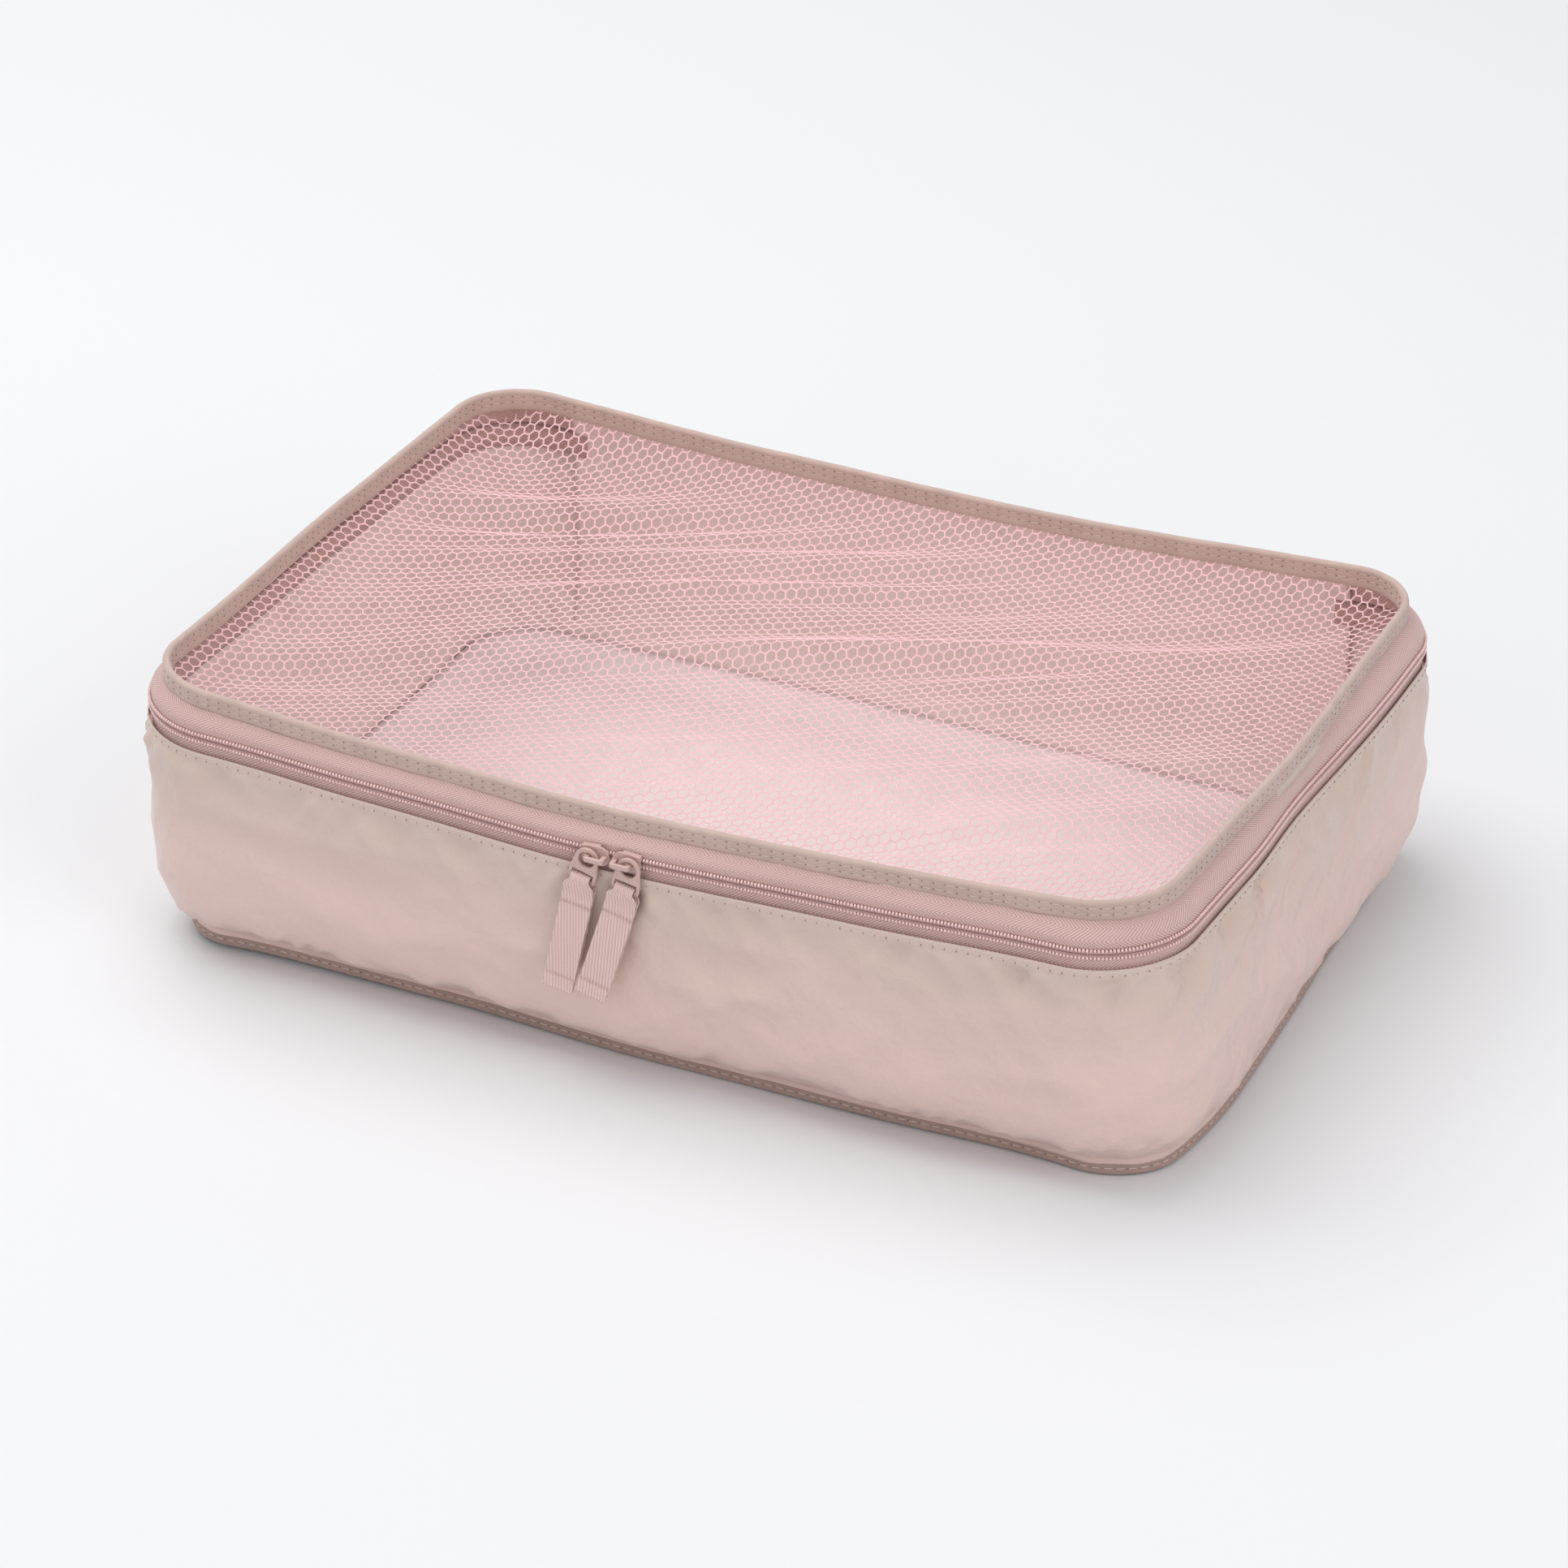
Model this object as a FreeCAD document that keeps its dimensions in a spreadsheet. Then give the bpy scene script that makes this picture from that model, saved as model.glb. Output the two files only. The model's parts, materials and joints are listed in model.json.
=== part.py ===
import FreeCAD, Part
import math
import operator
import os

import Sketcher
from FreeCAD import Rotation, Vector

# A soft travel packing cube, in millimetres: a nylon tub with a dished bottom
# panel and a zipped mesh lid that is hinged along the back.  The origin is on
# the ground under the middle of the tub.  +X runs along the long front edge,
# +Y from the front to the hinge and +Z up.  A section of the walls is drawn
# with "out", the distance outwards from the zip line, and "up", the height.

PARTS_FOLDER = "parts"

SIZES = {
    # the tub
    "zip_length": 400.0,            # along X, measured on the zip line
    "zip_width": 280.0,             # along Y, measured on the zip line
    "corner_radius": 35.0,          # of the zip line, seen from above
    "overall_height": 105.0,
    "zip_drop": 14.5,               # from the top of the rim to the zip's middle
    "zip_tail": 10.0,               # how far the zip runs on past each back corner
    "wall_swell": 4.0,              # how far the filled wall bulges from flat
    "hem_drop": 5.5,                # from the zip's middle to the wall's top edge
    "hem_depth": 4.0,
    "hem_stitch_drop": 2.5,
    "panel_slope": 14.0,            # width of the bottom panel's rising border
    # materials
    "fabric_gauge": 0.5,
    "mesh_gauge": 0.5,
    "tape_gauge": 0.6,
    "binding_gauge": 0.6,
    "thread_gauge": 0.3,
    # the bindings
    "rim_inset": 5.0,               # the rim's outer face, inside the zip line
    "rim_outer_leg": 7.0,
    "rim_inner_leg": 8.0,
    "rim_stitch_one": 2.6,          # below the top of the rim
    "rim_stitch_two": 5.0,
    "gusset_reach": 2.5,            # how far the lid's facing covers the zip tape
    "bottom_inset": 2.4,
    "bottom_leg": 7.0,
    "bottom_stitch_one": 2.4,       # above the ground
    "bottom_stitch_two": 4.8,
    # the zip
    "parting_gap": 0.9,
    "coil_width": 1.75,
    "coil_depth": 1.3,
    "tape_width": 9.5,              # of the lower tape, from the parting down
    "hinge_out": 1.6,               # the fold line, outside the back of the zip line
    "hinge_gap": 0.6,
    # clearances in the seams
    "seam_clearance": 0.2,          # between a raw edge and the fold that hides it
    "shoulder_clearance": 0.4,      # between the slope and the rim's inner leg
    "knee_clearance": 0.25,         # of upright tape beyond the slider
    "slope_saving": 0.1,            # how much less the sloping tape drops than its gauge
    # each slider, measured from its puller's pivot
    "slider_meeting_gap": 1.2,
    "nose_reach": 7.3,
    "tail_reach": 3.3,
    "slider_half_width": 3.7,
    "slider_tail_half_width": 3.2,
    "back_plate_half_width": 3.2,
    "back_plate_tail_half_width": 2.9,
    "plate_gauge": 0.9,
    "back_plate_gauge": 0.7,
    "flange_gauge": 0.75,
    "flange_tape_gap": 0.35,
    "coil_cover_gap": 0.4,
    "back_plate_gap": 0.3,
    "post_length": 2.4,
    "post_width": 0.5,
    "post_setback": 1.0,
    "bridge_width": 2.0,
    "bridge_gauge": 1.3,
    "bridge_room": 2.8,
    "bridge_foot": 1.8,
    "bridge_span": 5.9,             # between the middles of its two feet
    # each puller, measured from its pivot
    "puller_gauge": 1.2,
    "ring_radius": 4.5,
    "ring_hole_radius": 3.05,
    "ring_drop": 1.4,
    "slot_drop": 6.7,
    "slot_length": 2.3,
    "slot_width": 8.2,
    "frame_width": 10.6,
    "frame_bar": 1.8,
    "frame_corner": 1.6,
    "left_lean": 16.0,              # degrees, both lower ends towards -X
    "right_lean": 10.0,
    # each ribbon
    "ribbon_width": 11.6,
    "ribbon_neck": 7.2,
    "ribbon_length": 43.5,          # from the bar to the cut end
    "ribbon_gauge": 0.8,
    "ribbon_loop_gap": 0.5,
    "ribbon_taper": 6.0,
    "ribbon_edge_margin": 1.2,
    "left_ribbon_lean": 8.5,        # degrees, both lower ends towards -X
    "right_ribbon_lean": 12.5,
    "ribbon_stand_off": 6.0,        # degrees, outwards at the lower end
    "first_tack": 10.0,             # from the bar
    "second_tack": 38.0,
    "cut_margin": 1.0,              # how far the neck's cuts run past the ribbon
    "tack_height": 1.2,
    "tack_gauge": 0.25,
}


class Size:
    """A size that carries both its number and the sheet formula behind it."""

    def __init__(self, formula, number):
        self.formula = formula
        self.number = number

    def __add__(self, other):
        return combine(self, "+", other)

    def __radd__(self, other):
        return combine(other, "+", self)

    def __sub__(self, other):
        return combine(self, "-", other)

    def __rsub__(self, other):
        return combine(other, "-", self)

    def __mul__(self, other):
        return combine(self, "*", other)

    def __rmul__(self, other):
        return combine(other, "*", self)

    def __truediv__(self, other):
        return combine(self, "/", other)

    def __neg__(self):
        return combine(0.0, "-", self)


OPERATIONS = {
    "+": operator.add,
    "-": operator.sub,
    "*": operator.mul,
    "/": operator.truediv,
}


def as_size(value):
    if isinstance(value, Size):
        return value
    return Size("%.6f" % value, float(value))


def combine(left, sign, right):
    left = as_size(left)
    right = as_size(right)
    number = OPERATIONS[sign](left.number, right.number)
    return Size("(%s %s %s)" % (left.formula, sign, right.formula), number)


def hypotenuse(across, up):
    across = as_size(across)
    up = as_size(up)
    number = math.hypot(across.number, up.number)
    return Size("sqrt(%s^2 + %s^2)" % (across.formula, up.formula), number)


def cell(name):
    return Size("sizes." + name, SIZES[name])


doc = FreeCAD.newDocument("packing_cube")
sheet = doc.addObject("Spreadsheet::Sheet", "sizes")
for row, (alias, value) in enumerate(SIZES.items(), start=1):
    sheet.set("A%d" % row, alias)
    sheet.set("B%d" % row, str(value))
    sheet.setAlias("B%d" % row, alias)
doc.recompute()

SUB_PARTS = []

# ---------------------------------------------------------------- places

HALF_LENGTH = cell("zip_length") / 2
HALF_WIDTH = cell("zip_width") / 2
ZIP_UP = cell("overall_height") - cell("zip_drop")
HINGE_ACROSS = HALF_WIDTH + cell("hinge_out")
BACK_SEAM = HALF_LENGTH - cell("corner_radius") - cell("zip_tail")
HEM_UP = ZIP_UP - cell("hem_drop")
HEM_FOOT_UP = HEM_UP - cell("hem_depth")

# the lid's seam, from its outer face inwards: binding, facing, tape, mesh, binding
RIM_OUT = -cell("rim_inset")
FACING_OUT = RIM_OUT - cell("binding_gauge")
TAPE_OUT = FACING_OUT - cell("fabric_gauge")
MESH_OUT = TAPE_OUT - cell("tape_gauge")
LINING_OUT = MESH_OUT - cell("mesh_gauge")
RIM_IN = LINING_OUT - cell("binding_gauge")
RIM_FOLD_RADIUS = (RIM_OUT - RIM_IN) / 2
RIM_FOLD_UP = cell("overall_height") - RIM_FOLD_RADIUS
RIM_FOOT_UP = cell("overall_height") - cell("rim_inner_leg")
LID_SEAM_TOP = RIM_FOLD_UP - cell("seam_clearance")

# the shoulder, where the zip tape slopes from the seam out to the zip line
KNEE_UP = ZIP_UP + cell("slider_half_width") + cell("knee_clearance")
SHOULDER_UP = RIM_FOOT_UP + cell("shoulder_clearance")
SHOULDER_SLOPE = (SHOULDER_UP - KNEE_UP) / TAPE_OUT
MESH_TOP = RIM_FOOT_UP - cell("seam_clearance")

# the bottom seam, from its outer face inwards: binding, wall, panel, binding
BOTTOM_OUT = -cell("bottom_inset")
WALL_FLANGE_OUT = BOTTOM_OUT - cell("binding_gauge")
PANEL_FLANGE_OUT = WALL_FLANGE_OUT - cell("fabric_gauge")
BOTTOM_LINING_OUT = PANEL_FLANGE_OUT - cell("fabric_gauge")
BOTTOM_IN = BOTTOM_LINING_OUT - cell("binding_gauge")
BOTTOM_FOLD_RADIUS = (BOTTOM_OUT - BOTTOM_IN) / 2
FLANGE_FOOT_UP = BOTTOM_FOLD_RADIUS + cell("seam_clearance")
PANEL_FLAT_OUT = BOTTOM_IN - cell("panel_slope")

# each slider, outwards from the zip line
FRONT_PLATE_OUT = cell("coil_depth") + cell("coil_cover_gap")
PLATE_FACE_OUT = FRONT_PLATE_OUT + cell("plate_gauge")
BACK_PLATE_OUT = -cell("tape_gauge") - cell("back_plate_gap")
PULLER_OUT = PLATE_FACE_OUT + cell("bridge_room") / 2
PIVOT_ACROSS = cell("slider_meeting_gap") / 2 + cell("nose_reach")
BAR_DROP = cell("slot_drop") + cell("slot_length") + cell("frame_bar") / 2


# ---------------------------------------------------------------- sketching

def origin_plane(body, role):
    for feature in body.Origin.OriginFeatures:
        if feature.Role == role:
            return feature
    raise RuntimeError("no plane " + role)


def new_body(name):
    body = doc.addObject("PartDesign::Body", name)
    body.Label = name
    SUB_PARTS.append(body)
    return body


def new_sketch(body, role, lift=None):
    sketch = body.newObject("Sketcher::SketchObject", body.Name + "_outline")
    sketch.AttachmentSupport = [(origin_plane(body, role), "")]
    sketch.MapMode = "FlatFace"
    if lift is not None:
        sketch.setExpression("AttachmentOffset.Base.z", as_size(lift).formula)
    return sketch


def arc_through(start, end, radius, turns_left):
    """The arc of a radius from start to end, less than half a turn or just half."""
    chord = end - start
    half = chord.Length / 2
    rise = math.sqrt(max(radius * radius - half * half, 0.0))
    side = Vector(-chord.y, chord.x, 0)
    side.normalize()
    sagitta = radius - rise
    middle = (start + end) / 2
    if turns_left:
        return Part.Arc(start, middle - side * sagitta, end)
    return Part.Arc(end, middle + side * sagitta, start)


def close_outline(sketch, corners):
    """Draw and fully constrain a closed loop.

    A corner is (across, up), or (across, up, radius) where an arc leaves it:
    a positive radius turns left on its way to the next corner, a negative one
    turns right.
    """
    points = [Vector(as_size(c[0]).number, as_size(c[1]).number, 0) for c in corners]
    ends = []
    for index, corner in enumerate(corners):
        start = points[index]
        end = points[(index + 1) % len(points)]
        if len(corner) == 2:
            edge = sketch.addGeometry(Part.LineSegment(start, end), False)
            ends.append((edge, 1, 2))
            continue
        radius = as_size(corner[2])
        turns_left = radius.number > 0
        arc = arc_through(start, end, abs(radius.number), turns_left)
        edge = sketch.addGeometry(arc, False)
        ends.append((edge, 1, 2) if turns_left else (edge, 2, 1))
    for index, (edge, start_point, end_point) in enumerate(ends):
        following = ends[(index + 1) % len(ends)]
        link = Sketcher.Constraint("Coincident", edge, end_point, following[0], following[1])
        sketch.addConstraint(link)
        for kind, value in (("DistanceX", corners[index][0]), ("DistanceY", corners[index][1])):
            value = as_size(value)
            rule = Sketcher.Constraint(kind, -1, 1, edge, start_point, value.number)
            number = sketch.addConstraint(rule)
            sketch.setExpression("Constraints[%d]" % number, value.formula)
        if len(corners[index]) == 3:
            fix_arc(sketch, edge, corners[index], points[index],
                    points[(index + 1) % len(points)])
    return sketch


def fix_arc(sketch, edge, corner, start, end):
    """Fix an arc by its radius, or by its centre where it is a half turn."""
    radius = as_size(corner[2])
    chord = end - start
    if chord.Length < 1.999 * abs(radius.number):
        rule = Sketcher.Constraint("Radius", edge, abs(radius.number))
        formula = "abs(%s)" % radius.formula
    elif abs(chord.x) > abs(chord.y):
        rule = Sketcher.Constraint("DistanceY", -1, 1, edge, 3, start.y)
        formula = as_size(corner[1]).formula
    else:
        rule = Sketcher.Constraint("DistanceX", -1, 1, edge, 3, start.x)
        formula = as_size(corner[0]).formula
    number = sketch.addConstraint(rule)
    sketch.setExpression("Constraints[%d]" % number, formula)


def circle(sketch, across, up, radius):
    across = as_size(across)
    up = as_size(up)
    centre = Vector(across.number, up.number, 0)
    normal = Vector(0, 0, 1)
    edge = sketch.addGeometry(Part.Circle(centre, normal, radius.number), False)
    rules = (
        (Sketcher.Constraint("Radius", edge, radius.number), radius),
        (Sketcher.Constraint("DistanceX", -1, 1, edge, 3, across.number), across),
        (Sketcher.Constraint("DistanceY", -1, 1, edge, 3, up.number), up),
    )
    for rule, value in rules:
        number = sketch.addConstraint(rule)
        sketch.setExpression("Constraints[%d]" % number, value.formula)
    return sketch


def rounded_rectangle(sketch, out):
    """The zip line's rounded rectangle, grown by out, starting at its front middle."""
    half_x = HALF_LENGTH + out
    half_y = HALF_WIDTH + out
    radius = cell("corner_radius") + out
    return close_outline(sketch, [
        (0.0, -half_y),
        (half_x - radius, -half_y, radius),
        (half_x, radius - half_y),
        (half_x, half_y - radius, radius),
        (half_x - radius, half_y),
        (radius - half_x, half_y, radius),
        (-half_x, half_y - radius),
        (-half_x, radius - half_y, radius),
        (radius - half_x, -half_y),
    ])


def front_section(sketch, section):
    """Draw a section whose points are (out, up) at the middle of the front."""
    turned = []
    for corner in section:
        turned.append((-HALF_WIDTH - corner[0],) + tuple(corner[1:]))
    return close_outline(sketch, turned)


# ---------------------------------------------------------------- features

def check_feature(feature):
    doc.recompute()
    if {"Invalid", "Error"} & set(feature.State):
        raise RuntimeError("%s failed" % feature.Label)
    return feature


def pad(body, sketch, length, middle=False):
    feature = body.newObject("PartDesign::Pad", body.Name + "_pad")
    feature.Profile = sketch
    feature.setExpression("Length", as_size(length).formula)
    if middle:
        feature.SideType = "Symmetric"
    return check_feature(feature)


def pocket_through(body, sketch):
    before = body.Shape.Volume
    feature = body.newObject("PartDesign::Pocket", body.Name + "_pocket")
    feature.Profile = sketch
    feature.Type = "ThroughAll"
    feature.SideType = "Symmetric"
    check_feature(feature)
    if feature.Shape.Volume > before - 1e-6:
        raise RuntimeError("%s cuts nothing" % feature.Label)
    return feature


def sweep_round(body, section):
    """Sweep a section of the wall once round the whole zip line."""
    spine = rounded_rectangle(new_sketch(body, "XY_Plane"), 0.0)
    profile = front_section(new_sketch(body, "YZ_Plane"), section)
    pipe = body.newObject("PartDesign::AdditivePipe", body.Name + "_sweep")
    pipe.Profile = profile
    pipe.Spine = (spine, [""])
    return check_feature(pipe)


def open_back(body):
    """Cut the straight of the back away, up to the seams with the back panel."""
    sketch = new_sketch(body, "XY_Plane")
    close_outline(sketch, [
        (-BACK_SEAM, 0.0),
        (BACK_SEAM, 0.0),
        (BACK_SEAM, HALF_WIDTH * 2),
        (-BACK_SEAM, HALF_WIDTH * 2),
    ])
    return pocket_through(body, sketch)


def back_strip(name, section):
    """A straight length of back panel between its two seams."""
    body = new_body(name)
    sketch = new_sketch(body, "YZ_Plane")
    turned = []
    for corner in section:
        turned.append((HALF_WIDTH + corner[0],) + tuple(corner[1:]))
    close_outline(sketch, turned)
    pad(body, sketch, BACK_SEAM * 2, middle=True)
    return body


def swept_body(name, section, three_sided=False):
    body = new_body(name)
    sweep_round(body, section)
    if three_sided:
        open_back(body)
    return body


# ---------------------------------------------------------------- the tub

def swell_radius(rise, lean):
    chord = hypotenuse(rise, lean)
    swell = cell("wall_swell")
    return chord * chord / (8 * swell) + swell / 2


def make_bottom_panel():
    """Flat on the ground, with a border that rises over the bottom binding."""
    body = new_body("bottom_panel")
    gauge = cell("fabric_gauge")
    flat = rounded_rectangle(new_sketch(body, "XY_Plane"), PANEL_FLAT_OUT)
    pad(body, flat, gauge)
    leg = cell("bottom_leg")
    sweep_round(body, [
        (PANEL_FLANGE_OUT, FLANGE_FOOT_UP),
        (PANEL_FLANGE_OUT, leg + gauge),
        (BOTTOM_IN, leg + gauge),
        (PANEL_FLAT_OUT, gauge),
        (PANEL_FLAT_OUT, 0.0),
        (BOTTOM_IN, leg),
        (BOTTOM_LINING_OUT, leg),
        (BOTTOM_LINING_OUT, FLANGE_FOOT_UP),
    ])


def make_side_wall():
    """One strip round the front and both sides, hemmed along its top edge."""
    gauge = cell("fabric_gauge")
    leg = cell("bottom_leg")
    foot = WALL_FLANGE_OUT
    radius = swell_radius(HEM_FOOT_UP - leg, gauge * 2 - foot)
    swept_body("side_wall", [
        (foot, FLANGE_FOOT_UP),
        (foot, leg, -radius),
        (gauge * 2, HEM_FOOT_UP),
        (gauge * 2, HEM_UP),
        (0.0, HEM_UP),
        (0.0, HEM_FOOT_UP),
        (gauge, HEM_FOOT_UP, radius),
        (foot - gauge, leg),
        (foot - gauge, FLANGE_FOOT_UP),
    ], three_sided=True)


def make_back_wall():
    """The tub's part of the back panel, up to the fold that hinges the lid."""
    gauge = cell("fabric_gauge")
    leg = cell("bottom_leg")
    foot = WALL_FLANGE_OUT
    radius = swell_radius(HEM_UP - leg, -foot)
    fold = ZIP_UP - cell("hinge_gap") / 2
    back_strip("back_wall", [
        (foot, FLANGE_FOOT_UP),
        (foot, leg, radius),
        (0.0, HEM_UP),
        (0.0, fold),
        (-gauge, fold),
        (-gauge, HEM_UP, -radius),
        (foot - gauge, leg),
        (foot - gauge, FLANGE_FOOT_UP),
    ])


def make_bottom_rim_binding():
    """Folded tape round the raw edges of wall and panel, with its fold down."""
    gauge = cell("binding_gauge")
    fold = BOTTOM_FOLD_RADIUS
    leg = cell("bottom_leg")
    swept_body("bottom_rim_binding", [
        (BOTTOM_OUT, leg),
        (BOTTOM_OUT, fold, fold),
        (BOTTOM_IN, fold),
        (BOTTOM_IN, leg),
        (BOTTOM_LINING_OUT, leg),
        (BOTTOM_LINING_OUT, fold, gauge - fold),
        (WALL_FLANGE_OUT, fold),
        (WALL_FLANGE_OUT, leg),
    ])


def thread_section(out, up):
    """A thread that lies on a face at out, with its middle at up."""
    gauge = cell("thread_gauge")
    return [
        (out, up - gauge / 2),
        (out, up + gauge / 2),
        (out + gauge, up + gauge / 2),
        (out + gauge, up - gauge / 2),
    ]


def make_bottom_stitching():
    out = BOTTOM_OUT
    for number, size in (("lower", "bottom_stitch_one"), ("upper", "bottom_stitch_two")):
        swept_body("bottom_%s_stitching" % number, thread_section(out, cell(size)))


def make_hem_stitching():
    out = cell("fabric_gauge") * 2
    up = HEM_UP - cell("hem_stitch_drop")
    swept_body("hem_stitching", thread_section(out, up), three_sided=True)


def make_lower_zip():
    tape_top = ZIP_UP - cell("parting_gap") / 2
    tape_foot = tape_top - cell("tape_width")
    swept_body("lower_zip_tape", [
        (0.0, tape_foot),
        (0.0, tape_top),
        (-cell("tape_gauge"), tape_top),
        (-cell("tape_gauge"), tape_foot),
    ], three_sided=True)
    coil_foot = tape_top - cell("coil_width")
    swept_body("lower_zip_coil", coil_section(coil_foot, tape_top), three_sided=True)


def coil_section(foot, top):
    """A closed envelope round one row of coil, with its outer corners rounded."""
    depth = cell("coil_depth")
    soft = depth / 3
    return [
        (0.0, foot),
        (depth - soft, foot, -soft),
        (depth, foot + soft),
        (depth, top - soft, -soft),
        (depth - soft, top),
        (0.0, top),
    ]


# ---------------------------------------------------------------- the lid

def make_mesh_panel():
    """The net panel, with its edge turned up into the rim binding."""
    body = new_body("mesh_panel")
    gauge = cell("mesh_gauge")
    underside = MESH_TOP - gauge
    flat = rounded_rectangle(new_sketch(body, "XY_Plane", underside), MESH_OUT)
    pad(body, flat, gauge)
    sweep_round(body, [
        (MESH_OUT, underside),
        (MESH_OUT, LID_SEAM_TOP),
        (LINING_OUT, LID_SEAM_TOP),
        (LINING_OUT, underside),
    ])


def make_lid_gusset():
    """The narrow nylon facing that covers the seam of the upper zip tape."""
    gauge = cell("fabric_gauge")
    reach = TAPE_OUT + cell("gusset_reach")
    edge_up = KNEE_UP + reach * SHOULDER_SLOPE
    corner_up = SHOULDER_UP + gauge + gauge * SHOULDER_SLOPE
    swept_body("lid_gusset", [
        (FACING_OUT, corner_up),
        (FACING_OUT, LID_SEAM_TOP),
        (TAPE_OUT, LID_SEAM_TOP),
        (TAPE_OUT, SHOULDER_UP),
        (reach, edge_up),
        (reach, edge_up + gauge),
    ], three_sided=True)


def make_lid_back_gusset():
    """The lid's part of the back panel, from the fold up into the rim."""
    gauge = cell("fabric_gauge")
    fold = ZIP_UP + cell("hinge_gap") / 2
    corner_up = SHOULDER_UP + gauge + gauge * SHOULDER_SLOPE
    back_strip("lid_back_gusset", [
        (0.0, fold),
        (0.0, KNEE_UP),
        (FACING_OUT, corner_up),
        (FACING_OUT, LID_SEAM_TOP),
        (TAPE_OUT, LID_SEAM_TOP),
        (TAPE_OUT, SHOULDER_UP),
        (-gauge, KNEE_UP - gauge),
        (-gauge, fold),
    ])


def make_top_rim_binding():
    """Folded tape round the raw edges of the lid, with its fold up."""
    gauge = cell("binding_gauge")
    fold = RIM_FOLD_RADIUS
    outer_foot = cell("overall_height") - cell("rim_outer_leg")
    swept_body("top_rim_binding", [
        (RIM_OUT, outer_foot),
        (RIM_OUT, RIM_FOLD_UP, -fold),
        (RIM_IN, RIM_FOLD_UP),
        (RIM_IN, RIM_FOOT_UP),
        (LINING_OUT, RIM_FOOT_UP),
        (LINING_OUT, RIM_FOLD_UP, fold - gauge),
        (FACING_OUT, RIM_FOLD_UP),
        (FACING_OUT, outer_foot),
    ])


def make_rim_stitching():
    top = cell("overall_height")
    for number, size in (("upper", "rim_stitch_one"), ("lower", "rim_stitch_two")):
        swept_body("rim_%s_stitching" % number, thread_section(RIM_OUT, top - cell(size)))


def make_upper_zip():
    tape_foot = ZIP_UP + cell("parting_gap") / 2
    gauge = cell("tape_gauge")
    drop = gauge - cell("slope_saving")
    swept_body("upper_zip_tape", [
        (0.0, tape_foot),
        (0.0, KNEE_UP),
        (TAPE_OUT, SHOULDER_UP),
        (TAPE_OUT, LID_SEAM_TOP),
        (MESH_OUT, LID_SEAM_TOP),
        (MESH_OUT, SHOULDER_UP - drop),
        (-gauge, KNEE_UP - drop),
        (-gauge, tape_foot),
    ], three_sided=True)
    coil_top = tape_foot + cell("coil_width")
    swept_body("upper_zip_coil", coil_section(tape_foot, coil_top), three_sided=True)


# ---------------------------------------------------------------- the pulls

def place(body, across, out, up, turns):
    """Put a body at a point of the front, after turns of (axis, Size in degrees)."""
    body.setExpression("Placement.Base.x", as_size(across).formula)
    body.setExpression("Placement.Base.y", (-HALF_WIDTH - out).formula)
    body.setExpression("Placement.Base.z", as_size(up).formula)
    if turns:
        axis, angle = turns
        body.Placement.Rotation = Rotation(axis, angle.number)
        body.setExpression("Placement.Rotation.Angle", angle.formula)


def slider_plate(sketch, half_width, tail_half_width):
    """A plate's outline: a round nose and a narrower, straight tail."""
    nose = cell("nose_reach") - half_width
    tail = -cell("tail_reach")
    return close_outline(sketch, [
        (tail, -tail_half_width),
        (nose, -half_width, half_width),
        (nose, half_width),
        (tail, tail_half_width),
    ])


def make_slider_body(side, sign):
    """Two plates joined by a post, with flanges that guide the tapes."""
    body = new_body("%s_slider_body" % side)
    half = cell("slider_half_width")
    tail_half = cell("slider_tail_half_width")
    front = new_sketch(body, "XZ_Plane", FRONT_PLATE_OUT)
    pad(body, slider_plate(front, half, tail_half), cell("plate_gauge"))
    nose = cell("nose_reach") - half
    tail = -cell("tail_reach")
    gauge = cell("flange_gauge")
    for way in (-1, 1):
        rail = new_sketch(body, "XZ_Plane", cell("flange_tape_gap"))
        corners = [
            (tail, way * (tail_half - gauge)),
            (nose, way * (half - gauge)),
            (nose, way * half),
            (tail, way * tail_half),
        ]
        close_outline(rail, corners[::way])
        pad(body, rail, FRONT_PLATE_OUT - cell("flange_tape_gap"))
    post = new_sketch(body, "XZ_Plane", BACK_PLATE_OUT)
    post_end = cell("nose_reach") - cell("post_setback")
    post_half = cell("post_width") / 2
    close_outline(post, [
        (post_end - cell("post_length"), -post_half),
        (post_end, -post_half),
        (post_end, post_half),
        (post_end - cell("post_length"), post_half),
    ])
    pad(body, post, FRONT_PLATE_OUT - BACK_PLATE_OUT)
    rear_out = BACK_PLATE_OUT - cell("back_plate_gauge")
    rear = new_sketch(body, "XZ_Plane", rear_out)
    rear_half = cell("back_plate_half_width")
    rear_tail_half = cell("back_plate_tail_half_width")
    pad(body, slider_plate(rear, rear_half, rear_tail_half), cell("back_plate_gauge"))
    turn = (Vector(0, 1, 0), Size("180.0", 180.0)) if sign > 0 else None
    place(body, sign * PIVOT_ACROSS, 0.0, ZIP_UP, turn)


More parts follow.
